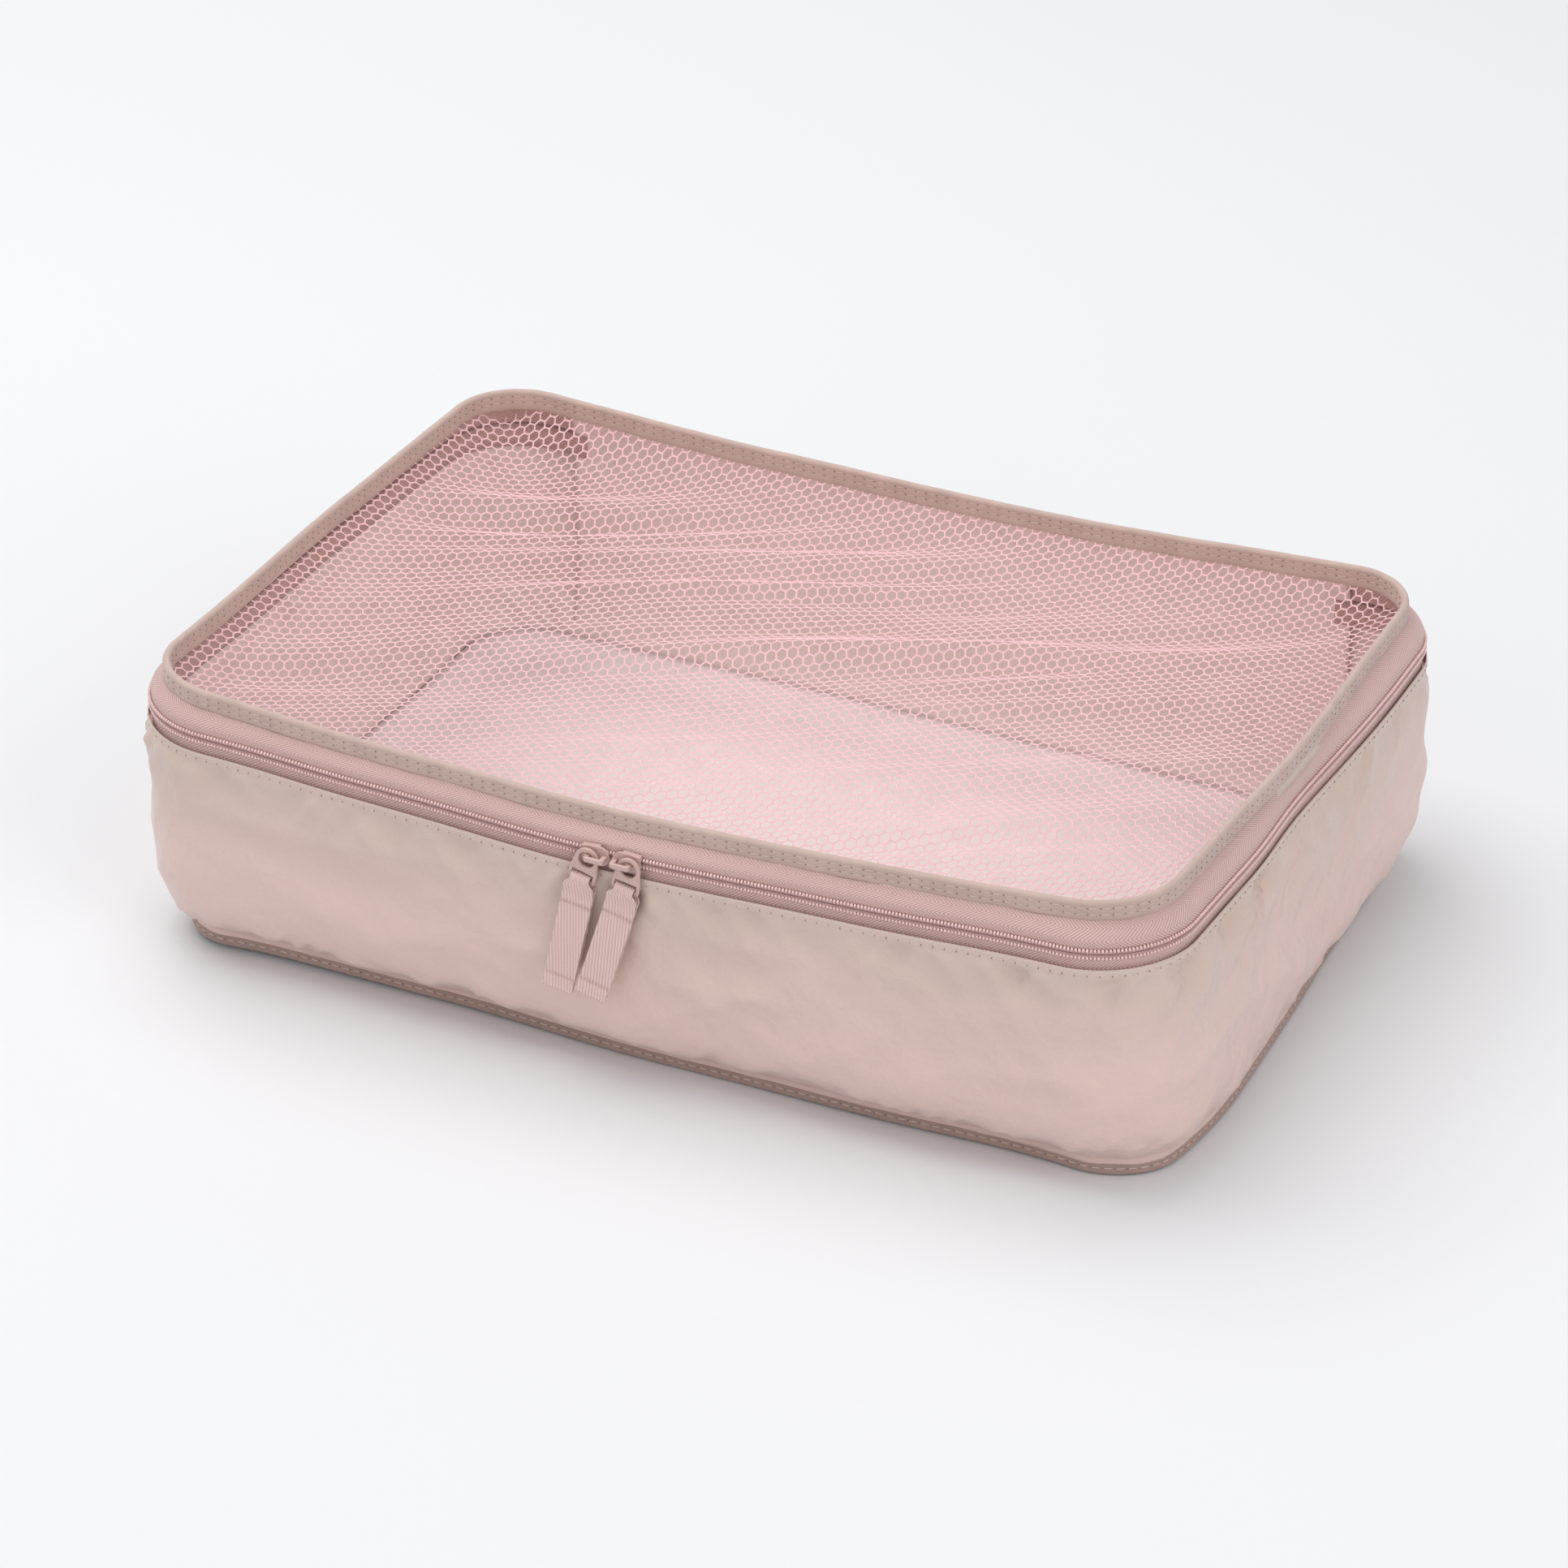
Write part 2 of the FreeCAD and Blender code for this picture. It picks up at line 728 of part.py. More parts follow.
def make_slider_bridge(side, sign):
    """The strap that stands on the slider and passes through the puller's ring."""
    body = new_body("%s_slider_bridge" % side)
    foot = cell("bridge_foot")
    span = cell("bridge_span")
    room = PLATE_FACE_OUT + cell("bridge_room")
    crown = room + cell("bridge_gauge")
    soft = cell("bridge_gauge")
    sketch = new_sketch(body, "XY_Plane", -cell("bridge_width") / 2)
    close_outline(sketch, [
        (-foot / 2, -PLATE_FACE_OUT),
        (-foot / 2, soft - crown, soft),
        (soft - foot / 2, -crown),
        (span + foot / 2 - soft, -crown, soft),
        (span + foot / 2, soft - crown),
        (span + foot / 2, -PLATE_FACE_OUT),
        (span - foot / 2, -PLATE_FACE_OUT),
        (span - foot / 2, -room),
        (foot / 2, -room),
        (foot / 2, -PLATE_FACE_OUT),
    ])
    pad(body, sketch, cell("bridge_width"))
    turn = (Vector(0, 1, 0), Size("180.0", 180.0)) if sign > 0 else None
    place(body, sign * PIVOT_ACROSS, 0.0, ZIP_UP, turn)


def make_puller(side, sign):
    """A flat pressed tab: a ring above, and a slotted frame below."""
    body = new_body("%s_puller" % side)
    gauge = cell("puller_gauge")
    lift = -gauge / 2
    ring = cell("ring_radius")
    half = cell("frame_width") / 2
    corner = cell("frame_corner")
    shoulder = -cell("slot_drop")
    foot = shoulder - cell("slot_length") - cell("frame_bar")
    sketch = new_sketch(body, "XZ_Plane", lift)
    close_outline(sketch, [
        (ring, -cell("ring_drop"), ring),
        (-ring, -cell("ring_drop")),
        (-half, shoulder),
        (-half, foot + corner, corner),
        (corner - half, foot),
        (half - corner, foot, corner),
        (half, foot + corner),
        (half, shoulder),
    ])
    pad(body, sketch, gauge)
    hole = circle(new_sketch(body, "XZ_Plane"), 0.0, -cell("ring_drop"), cell("ring_hole_radius"))
    pocket_through(body, hole)
    slot_half = cell("slot_width") / 2
    slot_foot = shoulder - cell("slot_length")
    slot = new_sketch(body, "XZ_Plane")
    close_outline(slot, [
        (-slot_half, slot_foot),
        (slot_half, slot_foot),
        (slot_half, shoulder),
        (-slot_half, shoulder),
    ])
    pocket_through(body, slot)
    lean = (Vector(0, 1, 0), cell("%s_lean" % side))
    place(body, sign * PIVOT_ACROSS, PULLER_OUT, ZIP_UP, lean)


def bar_point(side, sign):
    """Where the middle of the puller's lower bar is, as (across, up)."""
    lean = cell("%s_lean" % side)
    angle = math.radians(lean.number)
    sine = Size("sin(%s * 1 deg)" % lean.formula, math.sin(angle))
    cosine = Size("cos(%s * 1 deg)" % lean.formula, math.cos(angle))
    return sign * PIVOT_ACROSS - BAR_DROP * sine, ZIP_UP - BAR_DROP * cosine


def ribbon_placement(body, side, sign):
    """Hang a ribbon piece on its bar, leaning aside and standing off the wall."""
    across, up = bar_point(side, sign)
    lean = Rotation(Vector(0, 1, 0), cell("%s_ribbon_lean" % side).number)
    stand_off = Rotation(Vector(1, 0, 0), -cell("ribbon_stand_off").number)
    body.Placement.Rotation = lean.multiply(stand_off)
    body.setExpression("Placement.Base.x", across.formula)
    body.setExpression("Placement.Base.y", (-HALF_WIDTH - PULLER_OUT).formula)
    body.setExpression("Placement.Base.z", up.formula)


def make_ribbon(side, sign):
    """Twill ribbon looped through the slot and sewn to itself."""
    body = new_body("%s_ribbon" % side)
    gauge = cell("ribbon_gauge")
    hole = hypotenuse(cell("frame_bar") / 2, cell("puller_gauge") / 2) + cell("ribbon_loop_gap")
    loop = hole + gauge
    taper = -cell("ribbon_taper") - loop
    foot = -cell("ribbon_length")
    sketch = new_sketch(body, "YZ_Plane")
    close_outline(sketch, [
        (loop, 0.0, loop),
        (-loop, 0.0),
        (-gauge, taper),
        (-gauge, foot),
        (gauge, foot),
        (gauge, taper),
    ])
    pad(body, sketch, cell("ribbon_width"), middle=True)
    pocket_through(body, circle(new_sketch(body, "YZ_Plane"), 0.0, 0.0, hole))
    neck = cell("ribbon_neck") / 2
    half = cell("ribbon_width") / 2
    beyond = cell("cut_margin")
    top = loop + beyond
    neck_foot = -loop
    shoulder_foot = neck_foot - (half - neck)
    for way in (-1, 1):
        corner = new_sketch(body, "XZ_Plane")
        corners = [
            (way * neck, top),
            (way * neck, neck_foot),
            (way * half, shoulder_foot),
            (way * (half + beyond), shoulder_foot),
            (way * (half + beyond), top),
        ]
        close_outline(corner, corners[::way])
        pocket_through(body, corner)
    ribbon_placement(body, side, sign)


def make_ribbon_tacks(side, sign):
    """Two rows of tacking thread, on the outer face of the ribbon."""
    for name, size in (("upper", "first_tack"), ("lower", "second_tack")):
        body = new_body("%s_ribbon_%s_tack" % (side, name))
        half = cell("ribbon_width") / 2 - cell("ribbon_edge_margin")
        middle = -cell(size)
        rise = cell("tack_height") / 2
        sketch = new_sketch(body, "XZ_Plane", cell("ribbon_gauge"))
        close_outline(sketch, [
            (-half, middle - rise),
            (half, middle - rise),
            (half, middle + rise),
            (-half, middle + rise),
        ])
        pad(body, sketch, cell("tack_gauge"))
        ribbon_placement(body, side, sign)


# ---------------------------------------------------------------- all of it

def make_tub():
    make_bottom_panel()
    make_side_wall()
    make_back_wall()
    make_bottom_rim_binding()
    make_bottom_stitching()
    make_hem_stitching()
    make_lower_zip()


def make_lid():
    make_mesh_panel()
    make_lid_gusset()
    make_lid_back_gusset()
    make_top_rim_binding()
    make_rim_stitching()
    make_upper_zip()


def make_pull(side, sign):
    make_slider_body(side, sign)
    make_slider_bridge(side, sign)
    make_puller(side, sign)
    make_ribbon(side, sign)
    make_ribbon_tacks(side, sign)


make_tub()
make_lid()
make_pull("left", -1)
make_pull("right", 1)
doc.recompute()

for thing in doc.Objects:
    if {"Invalid", "Error"} & set(thing.State):
        raise RuntimeError("%s failed" % thing.Label)

os.makedirs(PARTS_FOLDER, exist_ok=True)
for sub_part in SUB_PARTS:
    shape = sub_part.Shape
    if shape.isNull() or not shape.isValid():
        raise RuntimeError("%s has no valid shape" % sub_part.Label)
    shape.exportStep(os.path.join(PARTS_FOLDER, sub_part.Label + ".step"))
    box = shape.BoundBox
    print("%-26s solids %d  volume %10.2f  x %8.2f %8.2f  y %8.2f %8.2f  z %7.2f %7.2f" % (
        sub_part.Label, len(shape.Solids), shape.Volume,
        box.XMin, box.XMax, box.YMin, box.YMax, box.ZMin, box.ZMax))
print("lid's fold line at y %.3f  z %.3f" % (HINGE_ACROSS.number, ZIP_UP.number))
for side, sign in (("left", -1), ("right", 1)):
    bar_across, bar_up = bar_point(side, sign)
    print("%s puller: turns at x %.3f  y %.3f  z %.3f, bar at x %.3f  z %.3f" % (
        side, sign * PIVOT_ACROSS.number, (-HALF_WIDTH - PULLER_OUT).number, ZIP_UP.number,
        bar_across.number, bar_up.number))
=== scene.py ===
"""A soft nylon packing cube with a net lid, a coil zip and two ribbon pulls.

Lengths are millimetres until a mesh is written, where they become metres. A
seam is drawn by how far it lies out from the zip line, by its height, and by
its place along the zip line, walked from the middle of the front towards +X.
"""

import json
import logging
import math
from collections.abc import Callable, Sequence
from dataclasses import dataclass, field
from enum import Enum
from functools import lru_cache

import bmesh
import bpy
import numpy as np
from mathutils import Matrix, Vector


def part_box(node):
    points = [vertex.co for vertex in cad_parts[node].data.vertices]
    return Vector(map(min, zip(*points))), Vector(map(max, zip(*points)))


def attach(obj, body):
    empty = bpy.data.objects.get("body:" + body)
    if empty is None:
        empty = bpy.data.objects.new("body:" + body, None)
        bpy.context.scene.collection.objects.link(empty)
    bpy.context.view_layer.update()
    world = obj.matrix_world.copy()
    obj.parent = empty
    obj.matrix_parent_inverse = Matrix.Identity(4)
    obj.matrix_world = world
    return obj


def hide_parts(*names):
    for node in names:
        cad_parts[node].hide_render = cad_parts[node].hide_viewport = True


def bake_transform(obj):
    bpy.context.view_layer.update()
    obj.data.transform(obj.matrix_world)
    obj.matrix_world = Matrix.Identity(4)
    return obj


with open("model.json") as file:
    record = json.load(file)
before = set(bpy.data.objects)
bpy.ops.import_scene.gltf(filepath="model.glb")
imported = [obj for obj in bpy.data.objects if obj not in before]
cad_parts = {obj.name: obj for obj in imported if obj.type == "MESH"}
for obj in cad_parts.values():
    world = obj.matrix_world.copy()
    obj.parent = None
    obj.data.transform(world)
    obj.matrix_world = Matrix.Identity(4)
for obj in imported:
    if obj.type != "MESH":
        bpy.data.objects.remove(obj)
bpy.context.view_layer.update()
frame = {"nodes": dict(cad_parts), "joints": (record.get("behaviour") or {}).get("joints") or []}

LOG = logging.getLogger("packing_cube")
MM = 0.001
Array = np.ndarray
Colour = tuple[float, float, float]


class Place(Enum):
    """The eight places round the cube that its seams are described from."""

    FRONT = 0
    FRONT_RIGHT = 1
    RIGHT = 2
    BACK_RIGHT = 3
    BACK = 4
    BACK_LEFT = 5
    LEFT = 6
    FRONT_LEFT = 7


class Body(Enum):
    """The bodies that the pieces ride on."""

    TUB = "tub"
    LID = "lid"


# ------------------------------------------------------------------ the frame's sizes


def joint_of(name: str) -> dict[str, object]:
    """Return a joint of the frame by its name."""
    return next(joint for joint in frame["joints"] if joint["name"] == name)


def node_box(node: str) -> tuple[Array, Array]:
    """Return the lowest and highest corner of a node, in millimetres."""
    low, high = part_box(node)
    return np.array(low) / MM, np.array(high) / MM


@dataclass(frozen=True)
class Outline:
    """The zip line in plan, a rounded rectangle walked from the middle of the front."""

    half_length: float
    half_width: float
    radius: float = 35.0

    def knots(self) -> tuple[Array, Array, Array, Array]:
        """Return where straights and arcs meet: along, facing angle, arc centre x and y."""
        straight = self.half_length - self.radius
        side = self.half_width - self.radius
        arc = math.pi * self.radius / 2
        runs = [0, straight, arc, 2 * side, arc, 2 * straight, arc, 2 * side, arc, straight]
        along = np.cumsum(runs)
        angle = np.radians([-90, -90, 0, 0, 90, 90, 180, 180, 270, 270])
        centre_x = np.array([0, 1, 1, 1, 1, -1, -1, -1, -1, 0]) * straight
        centre_y = np.array([-1, -1, -1, 1, 1, 1, 1, -1, -1, -1]) * side
        return along, angle, centre_x, centre_y

    def length(self) -> float:
        """Return the length once round."""
        return float(self.knots()[0][-1])

    def place(self, along: Array, out: Array) -> tuple[Array, Array]:
        """Find points beside the line.

        Args:
            along: Distances along the line.
            out: Distances outwards from it.

        Returns:
            The x and the y of each point.
        """
        knots, angle, centre_x, centre_y = self.knots()
        along = np.mod(along, knots[-1])
        facing = np.interp(along, knots, angle)
        reach = self.radius + out
        x = np.interp(along, knots, centre_x) + reach * np.cos(facing)
        y = np.interp(along, knots, centre_y) + reach * np.sin(facing)
        return x, y

    def station(self, place: Place) -> float:
        """Return how far along the line a place is."""
        knots = self.knots()[0]
        return float((knots[place.value] + knots[place.value + 1]) / 2) if place.value else 0.0


@dataclass(frozen=True)
class CubeSizes:
    """The places that every piece is built from, read from the frame."""

    outline: Outline
    zip_up: float
    hem_up: float
    rim_up: float
    rim_inset: float
    rim_leg: float
    foot_inset: float
    foot_leg: float
    back_seam: float
    parting: float
    tape_foot: float

    @classmethod
    def from_frame(cls) -> "CubeSizes":
        """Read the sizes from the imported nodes."""
        tape_low, tape_high = node_box("lower_zip_tape")
        upper_low, _ = node_box("upper_zip_tape")
        rim_low, rim_high = node_box("top_rim_binding")
        _, foot_high = node_box("bottom_panel")
        outline = Outline(float(tape_high[0]), float(-tape_low[1]))
        fold_thickness = 1.1
        return cls(
            outline=outline,
            zip_up=float(tape_high[2] + upper_low[2]) / 2,
            hem_up=float(node_box("side_wall")[1][2]),
            rim_up=float(rim_high[2]),
            rim_inset=float(tape_high[0] - node_box("mesh_panel")[1][0]) - 1.7,
            rim_leg=float(rim_high[2] - rim_low[2]) - 1.0,
            foot_inset=float(tape_high[0] - foot_high[0]) - fold_thickness,
            foot_leg=float(foot_high[2]) - 0.5,
            back_seam=float(node_box("back_wall")[1][0]),
            parting=float(upper_low[2] - tape_high[2]),
            tape_foot=float(tape_low[2]),
        )


SIZES = CubeSizes.from_frame()
OUTLINE = SIZES.outline
ROUND = OUTLINE.length()


@dataclass(frozen=True)
class SeamLine:
    """How far a soft seam drifts from its drawn line, all the way round.

    Each knot is a place, how far past it, and the drift there.
    """

    knots: tuple[tuple[Place, float, float], ...]
    softness: float = 14.0
    ripple: float = 0.0
    ripple_length: float = 50.0
    seed: int = 1

    SAMPLES = 4096

    @lru_cache(maxsize=None)
    def table(self) -> Array:
        """Return the drift at evenly spaced places once round."""
        along = np.arange(self.SAMPLES) * ROUND / self.SAMPLES
        places = sorted((OUTLINE.station(p) + past, value) for p, past, value in self.knots)
        at, values = np.array(places).T
        line = np.interp(along, at, values, period=ROUND)
        wave = np.random.default_rng(self.seed).normal(size=self.SAMPLES)
        wave = smooth_round(wave, self.ripple_length / 3)
        return smooth_round(line, self.softness) + self.ripple * wave / wave.std()

    def at(self, along: Array) -> Array:
        """Return the drift at distances along the line."""
        grid = np.arange(self.SAMPLES + 1) * ROUND / self.SAMPLES
        table = self.table()
        return np.interp(np.mod(along, ROUND), grid, np.append(table, table[0]))


def smooth_round(values: Array, spread: float) -> Array:
    """Blur values that are evenly spaced once round the cube.

    Args:
        values: The values.
        spread: The blur's standard deviation, in millimetres.

    Returns:
        The blurred values.
    """
    rate = np.fft.fftfreq(len(values), d=ROUND / len(values))
    keep = np.exp(-2 * (math.pi * rate * spread) ** 2)
    return np.real(np.fft.ifft(np.fft.fft(values) * keep))


def patch_noise(u: Array, v: Array, cell_u: float, cell_v: float, seed: int) -> Array:
    """Return soft random patches, repeating once round the cube in u.

    Args:
        u: Distances along.
        v: Distances across.
        cell_u: The patches' length.
        cell_v: The patches' width.
        seed: The random seed.

    Returns:
        Values between about -1 and 1.
    """
    columns = max(int(round(ROUND / cell_u)), 1)
    rows = 64
    grid = np.random.default_rng(seed).uniform(-1, 1, size=(columns, rows))
    u = np.mod(u, ROUND) / ROUND * columns
    v = np.mod(v / cell_v + rows / 2, rows)
    column, row = np.floor(u).astype(int), np.floor(v).astype(int)
    du, dv = u - column, v - row
    du, dv = du * du * (3 - 2 * du), dv * dv * (3 - 2 * dv)

    def corner(i: int, j: int) -> Array:
        """Return the patch's random value at one of its corners."""
        return grid[(column + i) % columns, (row + j) % rows]

    near = corner(0, 0) * (1 - du) + corner(1, 0) * du
    far = corner(0, 1) * (1 - du) + corner(1, 1) * du
    return near * (1 - dv) + far * dv


def crease(u: Array, v: Array, length: float, width: float, seed: int) -> Array:
    """Return soft random folds with sharp crests and round hollows, as cloth makes.

    Args:
        u: Distances along.
        v: Distances across.
        length: The folds' length.
        width: The folds' width.
        seed: The random seed.

    Returns:
        Values between about -1 and 0.4.
    """
    soft = patch_noise(u, v, length, width, seed)
    return 0.55 - 1.5 * np.sqrt(soft * soft + 0.012)


@dataclass(frozen=True)
class Seams:
    """Every seam's drift. The rim, the zip and the foot each move as one."""

    rim_rise: SeamLine = SeamLine((
        (Place.FRONT, 0, -0.4), (Place.FRONT, 120, 3.6), (Place.FRONT_RIGHT, 0, 8.2),
        (Place.RIGHT, 0, 6.6), (Place.BACK_RIGHT, 0, 8.6), (Place.BACK, -110, 3.4),
        (Place.BACK, 0, 0.0), (Place.BACK, 110, 3.8), (Place.BACK_LEFT, 0, 8.6),
        (Place.LEFT, 0, 6.6), (Place.FRONT_LEFT, 0, 8.4), (Place.FRONT, -120, 3.8)),
        softness=20.0, ripple=0.25, ripple_length=70.0, seed=3)
    rim_out: SeamLine = SeamLine((
        (Place.FRONT, -150, -2.2), (Place.FRONT, -90, -0.4), (Place.FRONT, 0, 0.4),
        (Place.FRONT, 90, -0.4), (Place.FRONT, 150, -2.2), (Place.FRONT_RIGHT, 0, -2.1),
        (Place.RIGHT, 0, 1.2), (Place.BACK_RIGHT, 0, -2.1), (Place.BACK, 0, -0.4),
        (Place.BACK_LEFT, 0, -2.1), (Place.LEFT, 0, 1.2), (Place.FRONT_LEFT, 0, -2.1)),
        softness=16.0, ripple=0.25, ripple_length=60.0, seed=5)
    zip_rise: SeamLine = SeamLine((
        (Place.FRONT, -12, 0.0), (Place.FRONT, 12, 0.0), (Place.FRONT, 120, 3.0),
        (Place.FRONT_RIGHT, 0, 6.2), (Place.RIGHT, -45, 5.6), (Place.RIGHT, 0, 3.6),
        (Place.RIGHT, 45, 6.4), (Place.BACK_RIGHT, 0, 5.2), (Place.BACK, -140, 0.4),
        (Place.BACK, 140, 0.4), (Place.BACK_LEFT, 0, 5.2), (Place.LEFT, 0, 5.4),
        (Place.FRONT_LEFT, 0, 6.6), (Place.FRONT, -120, 3.4)),
        softness=14.0, ripple=0.15, ripple_length=55.0, seed=8)
    zip_out: SeamLine = SeamLine((
        (Place.FRONT, -150, -2.4), (Place.FRONT, -14, 0.0), (Place.FRONT, 14, 0.0),
        (Place.FRONT, 150, -2.4), (Place.FRONT_RIGHT, 0, -1.7), (Place.RIGHT, -55, 0.6),
        (Place.RIGHT, -5, -2.6), (Place.RIGHT, 50, 1.6), (Place.BACK_RIGHT, 0, -1.1),
        (Place.BACK, -130, 0.0), (Place.BACK, 130, 0.0), (Place.BACK_LEFT, 0, -1.1),
        (Place.LEFT, 0, 1.4), (Place.FRONT_LEFT, 0, -1.1)),
        softness=14.0, ripple=0.2, ripple_length=50.0, seed=9)
    foot_out: SeamLine = SeamLine((
        (Place.FRONT, -150, -15.0), (Place.FRONT, -90, -14.5), (Place.FRONT, 0, -13.0),
        (Place.FRONT, 100, -13.0), (Place.FRONT, 150, -15.5), (Place.FRONT_RIGHT, 0, -12.0),
        (Place.FRONT_RIGHT, 24, -1.0), (Place.RIGHT, -70, 3.0), (Place.RIGHT, 0, -1.4),
        (Place.RIGHT, 90, -6.5), (Place.BACK_RIGHT, 0, -7.0), (Place.BACK, 0, -3.0),
        (Place.BACK_LEFT, 0, -4.0), (Place.LEFT, 0, -3.0), (Place.LEFT, 70, -3.0),
        (Place.FRONT_LEFT, 0, -10.0)),
        softness=12.0, ripple=0.35, ripple_length=70.0, seed=12)
    foot_rise: SeamLine = SeamLine((
        (Place.FRONT, 0, 0.2), (Place.FRONT_RIGHT, 0, 0.8), (Place.RIGHT, 0, 0.3),
        (Place.BACK_RIGHT, 0, 0.8), (Place.BACK, 0, 0.2), (Place.BACK_LEFT, 0, 1.2),
        (Place.LEFT, 0, 0.8), (Place.FRONT_LEFT, 0, 2.4)),
        softness=16.0, ripple=0.12, ripple_length=40.0, seed=14)
    wall_swell: SeamLine = SeamLine((
        (Place.FRONT, -120, 13.0), (Place.FRONT, 0, 12.0), (Place.FRONT, 130, 12.0),
        (Place.FRONT_RIGHT, 0, 9.0), (Place.RIGHT, -60, 4.0), (Place.RIGHT, 10, 6.0),
        (Place.RIGHT, 90, 9.5), (Place.BACK_RIGHT, 0, 8.0), (Place.BACK, -80, 5.0),
        (Place.BACK, 80, 5.0), (Place.BACK_LEFT, 0, 6.2), (Place.LEFT, 0, 6.4),
        (Place.FRONT_LEFT, 0, 9.4)),
        softness=20.0, ripple=0.5, ripple_length=90.0, seed=21)


SEAMS = Seams()


# ------------------------------------------------------------------ meshes


def place_mesh(name: str, mesh: bpy.types.Mesh) -> bpy.types.Object:
    """Link a new object that holds a mesh."""
    piece = bpy.data.objects.new(name, mesh)
    bpy.context.scene.collection.objects.link(piece)
    return piece


def shade_faces(mesh: bpy.types.Mesh, smooth: bool) -> None:
    """Shade every face of a mesh smooth or flat."""
    mesh.polygons.foreach_set("use_smooth", [smooth] * len(mesh.polygons))


def new_piece(name: str, points: Array, faces: Sequence[Sequence[int]],
              uvs: Array | None = None) -> bpy.types.Object:
    """Write a mesh object from millimetres.

    Args:
        name: The piece's name.
        points: Its vertices, one row each, in millimetres.
        faces: The vertex numbers of each face.
        uvs: A pair for each face corner, in order, or None.

    Returns:
        The smooth-shaded object, linked to the scene.
    """
    mesh = bpy.data.meshes.new(name)
    mesh.from_pydata((np.asarray(points) * MM).tolist(), [], [list(map(int, f)) for f in faces])
    if uvs is not None:
        layer = mesh.uv_layers.new(name="cloth")
        layer.data.foreach_set("uv", np.asarray(uvs, np.float32).ravel())
    shade_faces(mesh, True)
    mesh.update()
    return place_mesh(name, mesh)


def grid_faces(rows: int, columns: int, wrap_rows: bool, wrap_columns: bool) -> Array:
    """Return the quads of a grid of points, row by row.

    Args:
        rows: How many rows of points there are.
        columns: How many points a row has.
        wrap_rows: Whether the last row joins the first.
        wrap_columns: Whether each row's last point joins its first.

    Returns:
        Four point numbers for each quad.
    """
    row = np.arange(rows if wrap_rows else rows - 1)
    column = np.arange(columns if wrap_columns else columns - 1)
    i, j = np.meshgrid(row, column, indexing="ij")
    i, j = i.ravel(), j.ravel()
    i_next, j_next = (i + 1) % rows, (j + 1) % columns
    return np.stack([i * columns + j, i_next * columns + j,
                     i_next * columns + j_next, i * columns + j_next], axis=1)


def grid_uvs(u: Array, v: Array, wrap_rows: bool, wrap_columns: bool) -> Array:
    """Return the uv of each quad's corners, in metres, unbroken across a wrap.

    Args:
        u: Each row's distance along, with one more where the rows wrap.
        v: Each column's distance across, with one more where the columns wrap.
        wrap_rows: Whether the last row joins the first.
        wrap_columns: Whether each row's last point joins its first.

    Returns:
        Four pairs for each quad.
    """
    rows, columns = len(u) - wrap_rows, len(v) - wrap_columns
    i, j = np.meshgrid(np.arange(rows if wrap_rows else rows - 1),
                       np.arange(columns if wrap_columns else columns - 1), indexing="ij")
    i, j = i.ravel(), j.ravel()
    corners = [(i, j), (i + 1, j), (i + 1, j + 1), (i, j + 1)]
    return np.stack([np.stack([u[a], v[b]], axis=1) for a, b in corners], axis=1) * MM


def sweep(name: str, along: Array, out: Array, up: Array, *, ring: bool = False,
          loop: bool = True) -> bpy.types.Object:
    """Sweep a section along the zip line, each point with its own drift.

    Args:
        name: The piece's name.
        along: The stations, in order.
        out: How far out each section point is, a row for each station.
        up: How high each one is.
        ring: Whether the path closes on itself.
        loop: Whether the section is a closed outline.

    Returns:
        The swept object, closed at its ends where the path is open.
    """
    x, y = OUTLINE.place(along[:, None], out)
    points = np.stack([x, y, up], axis=-1)
    rows, columns = out.shape
    faces = grid_faces(rows, columns, ring, loop)
    steps = np.hypot(np.diff(out, axis=1), np.diff(up, axis=1)).mean(axis=0)
    v = np.concatenate([[0.0], np.cumsum(steps)])
    if loop:
        v = np.append(v, v[-1] + math.hypot(out[0, -1] - out[0, 0], up[0, -1] - up[0, 0]))
    u = np.append(along, along[0] + ROUND) if ring else along
    uvs = grid_uvs(u, v, ring, loop).reshape(-1, 2)
    faces = faces.tolist()
    if loop and not ring:
        caps = [list(range(columns))[::-1],
                list(range((rows - 1) * columns, rows * columns))]
        faces += caps
        uvs = np.concatenate([uvs, np.zeros((2 * columns, 2))])
    return new_piece(name, points.reshape(-1, 3), faces, uvs)


def apply_modifiers(piece: bpy.types.Object) -> None:
    """Write a piece's modifiers into its mesh and take them off."""
    depsgraph = bpy.context.evaluated_depsgraph_get()
    mesh = bpy.data.meshes.new_from_object(piece.evaluated_get(depsgraph))
    piece.modifiers.clear()
    piece.data = mesh


def thicken(piece: bpy.types.Object, gauge: float, outer: bpy.types.Material,
            inner: bpy.types.Material) -> None:
    """Give a sheet its thickness, inwards, with a finish on each side.

    Args:
        piece: The sheet, one layer thick.
        gauge: Its thickness, in millimetres.
        outer: The finish of its outer face.
        inner: The finish of its inner face.
    """
    piece.data.materials.append(outer)
    piece.data.materials.append(inner)
    solid = piece.modifiers.new("gauge", "SOLIDIFY")
    solid.thickness = gauge * MM
    solid.offset = -1.0
    solid.material_offset = 1
    apply_modifiers(piece)


def stations(spacing: float, ring: bool) -> Array:
    """Return places along the zip line.

    Args:
        spacing: About how far they are apart, in millimetres.
        ring: Whether they go once round, or else from back seam to back seam.

    Returns:
        Their distances along the line.
    """
    if ring:
        count = int(ROUND / spacing)
        return np.arange(count) * ROUND / count
    reach = back_reach()
    return np.linspace(-reach, reach, int(2 * reach / spacing))


def back_reach() -> float:
    """Return how far along the line from the front's middle the back seams are."""
    return ROUND / 2 - SIZES.back_seam


def belly(share: Array) -> Array:
    """Return a soft wall's bulge from foot to hem: quick out of the foot, slow to the hem."""
    return (1 - share) * (1 - np.exp(-share / 0.12)) / 0.65


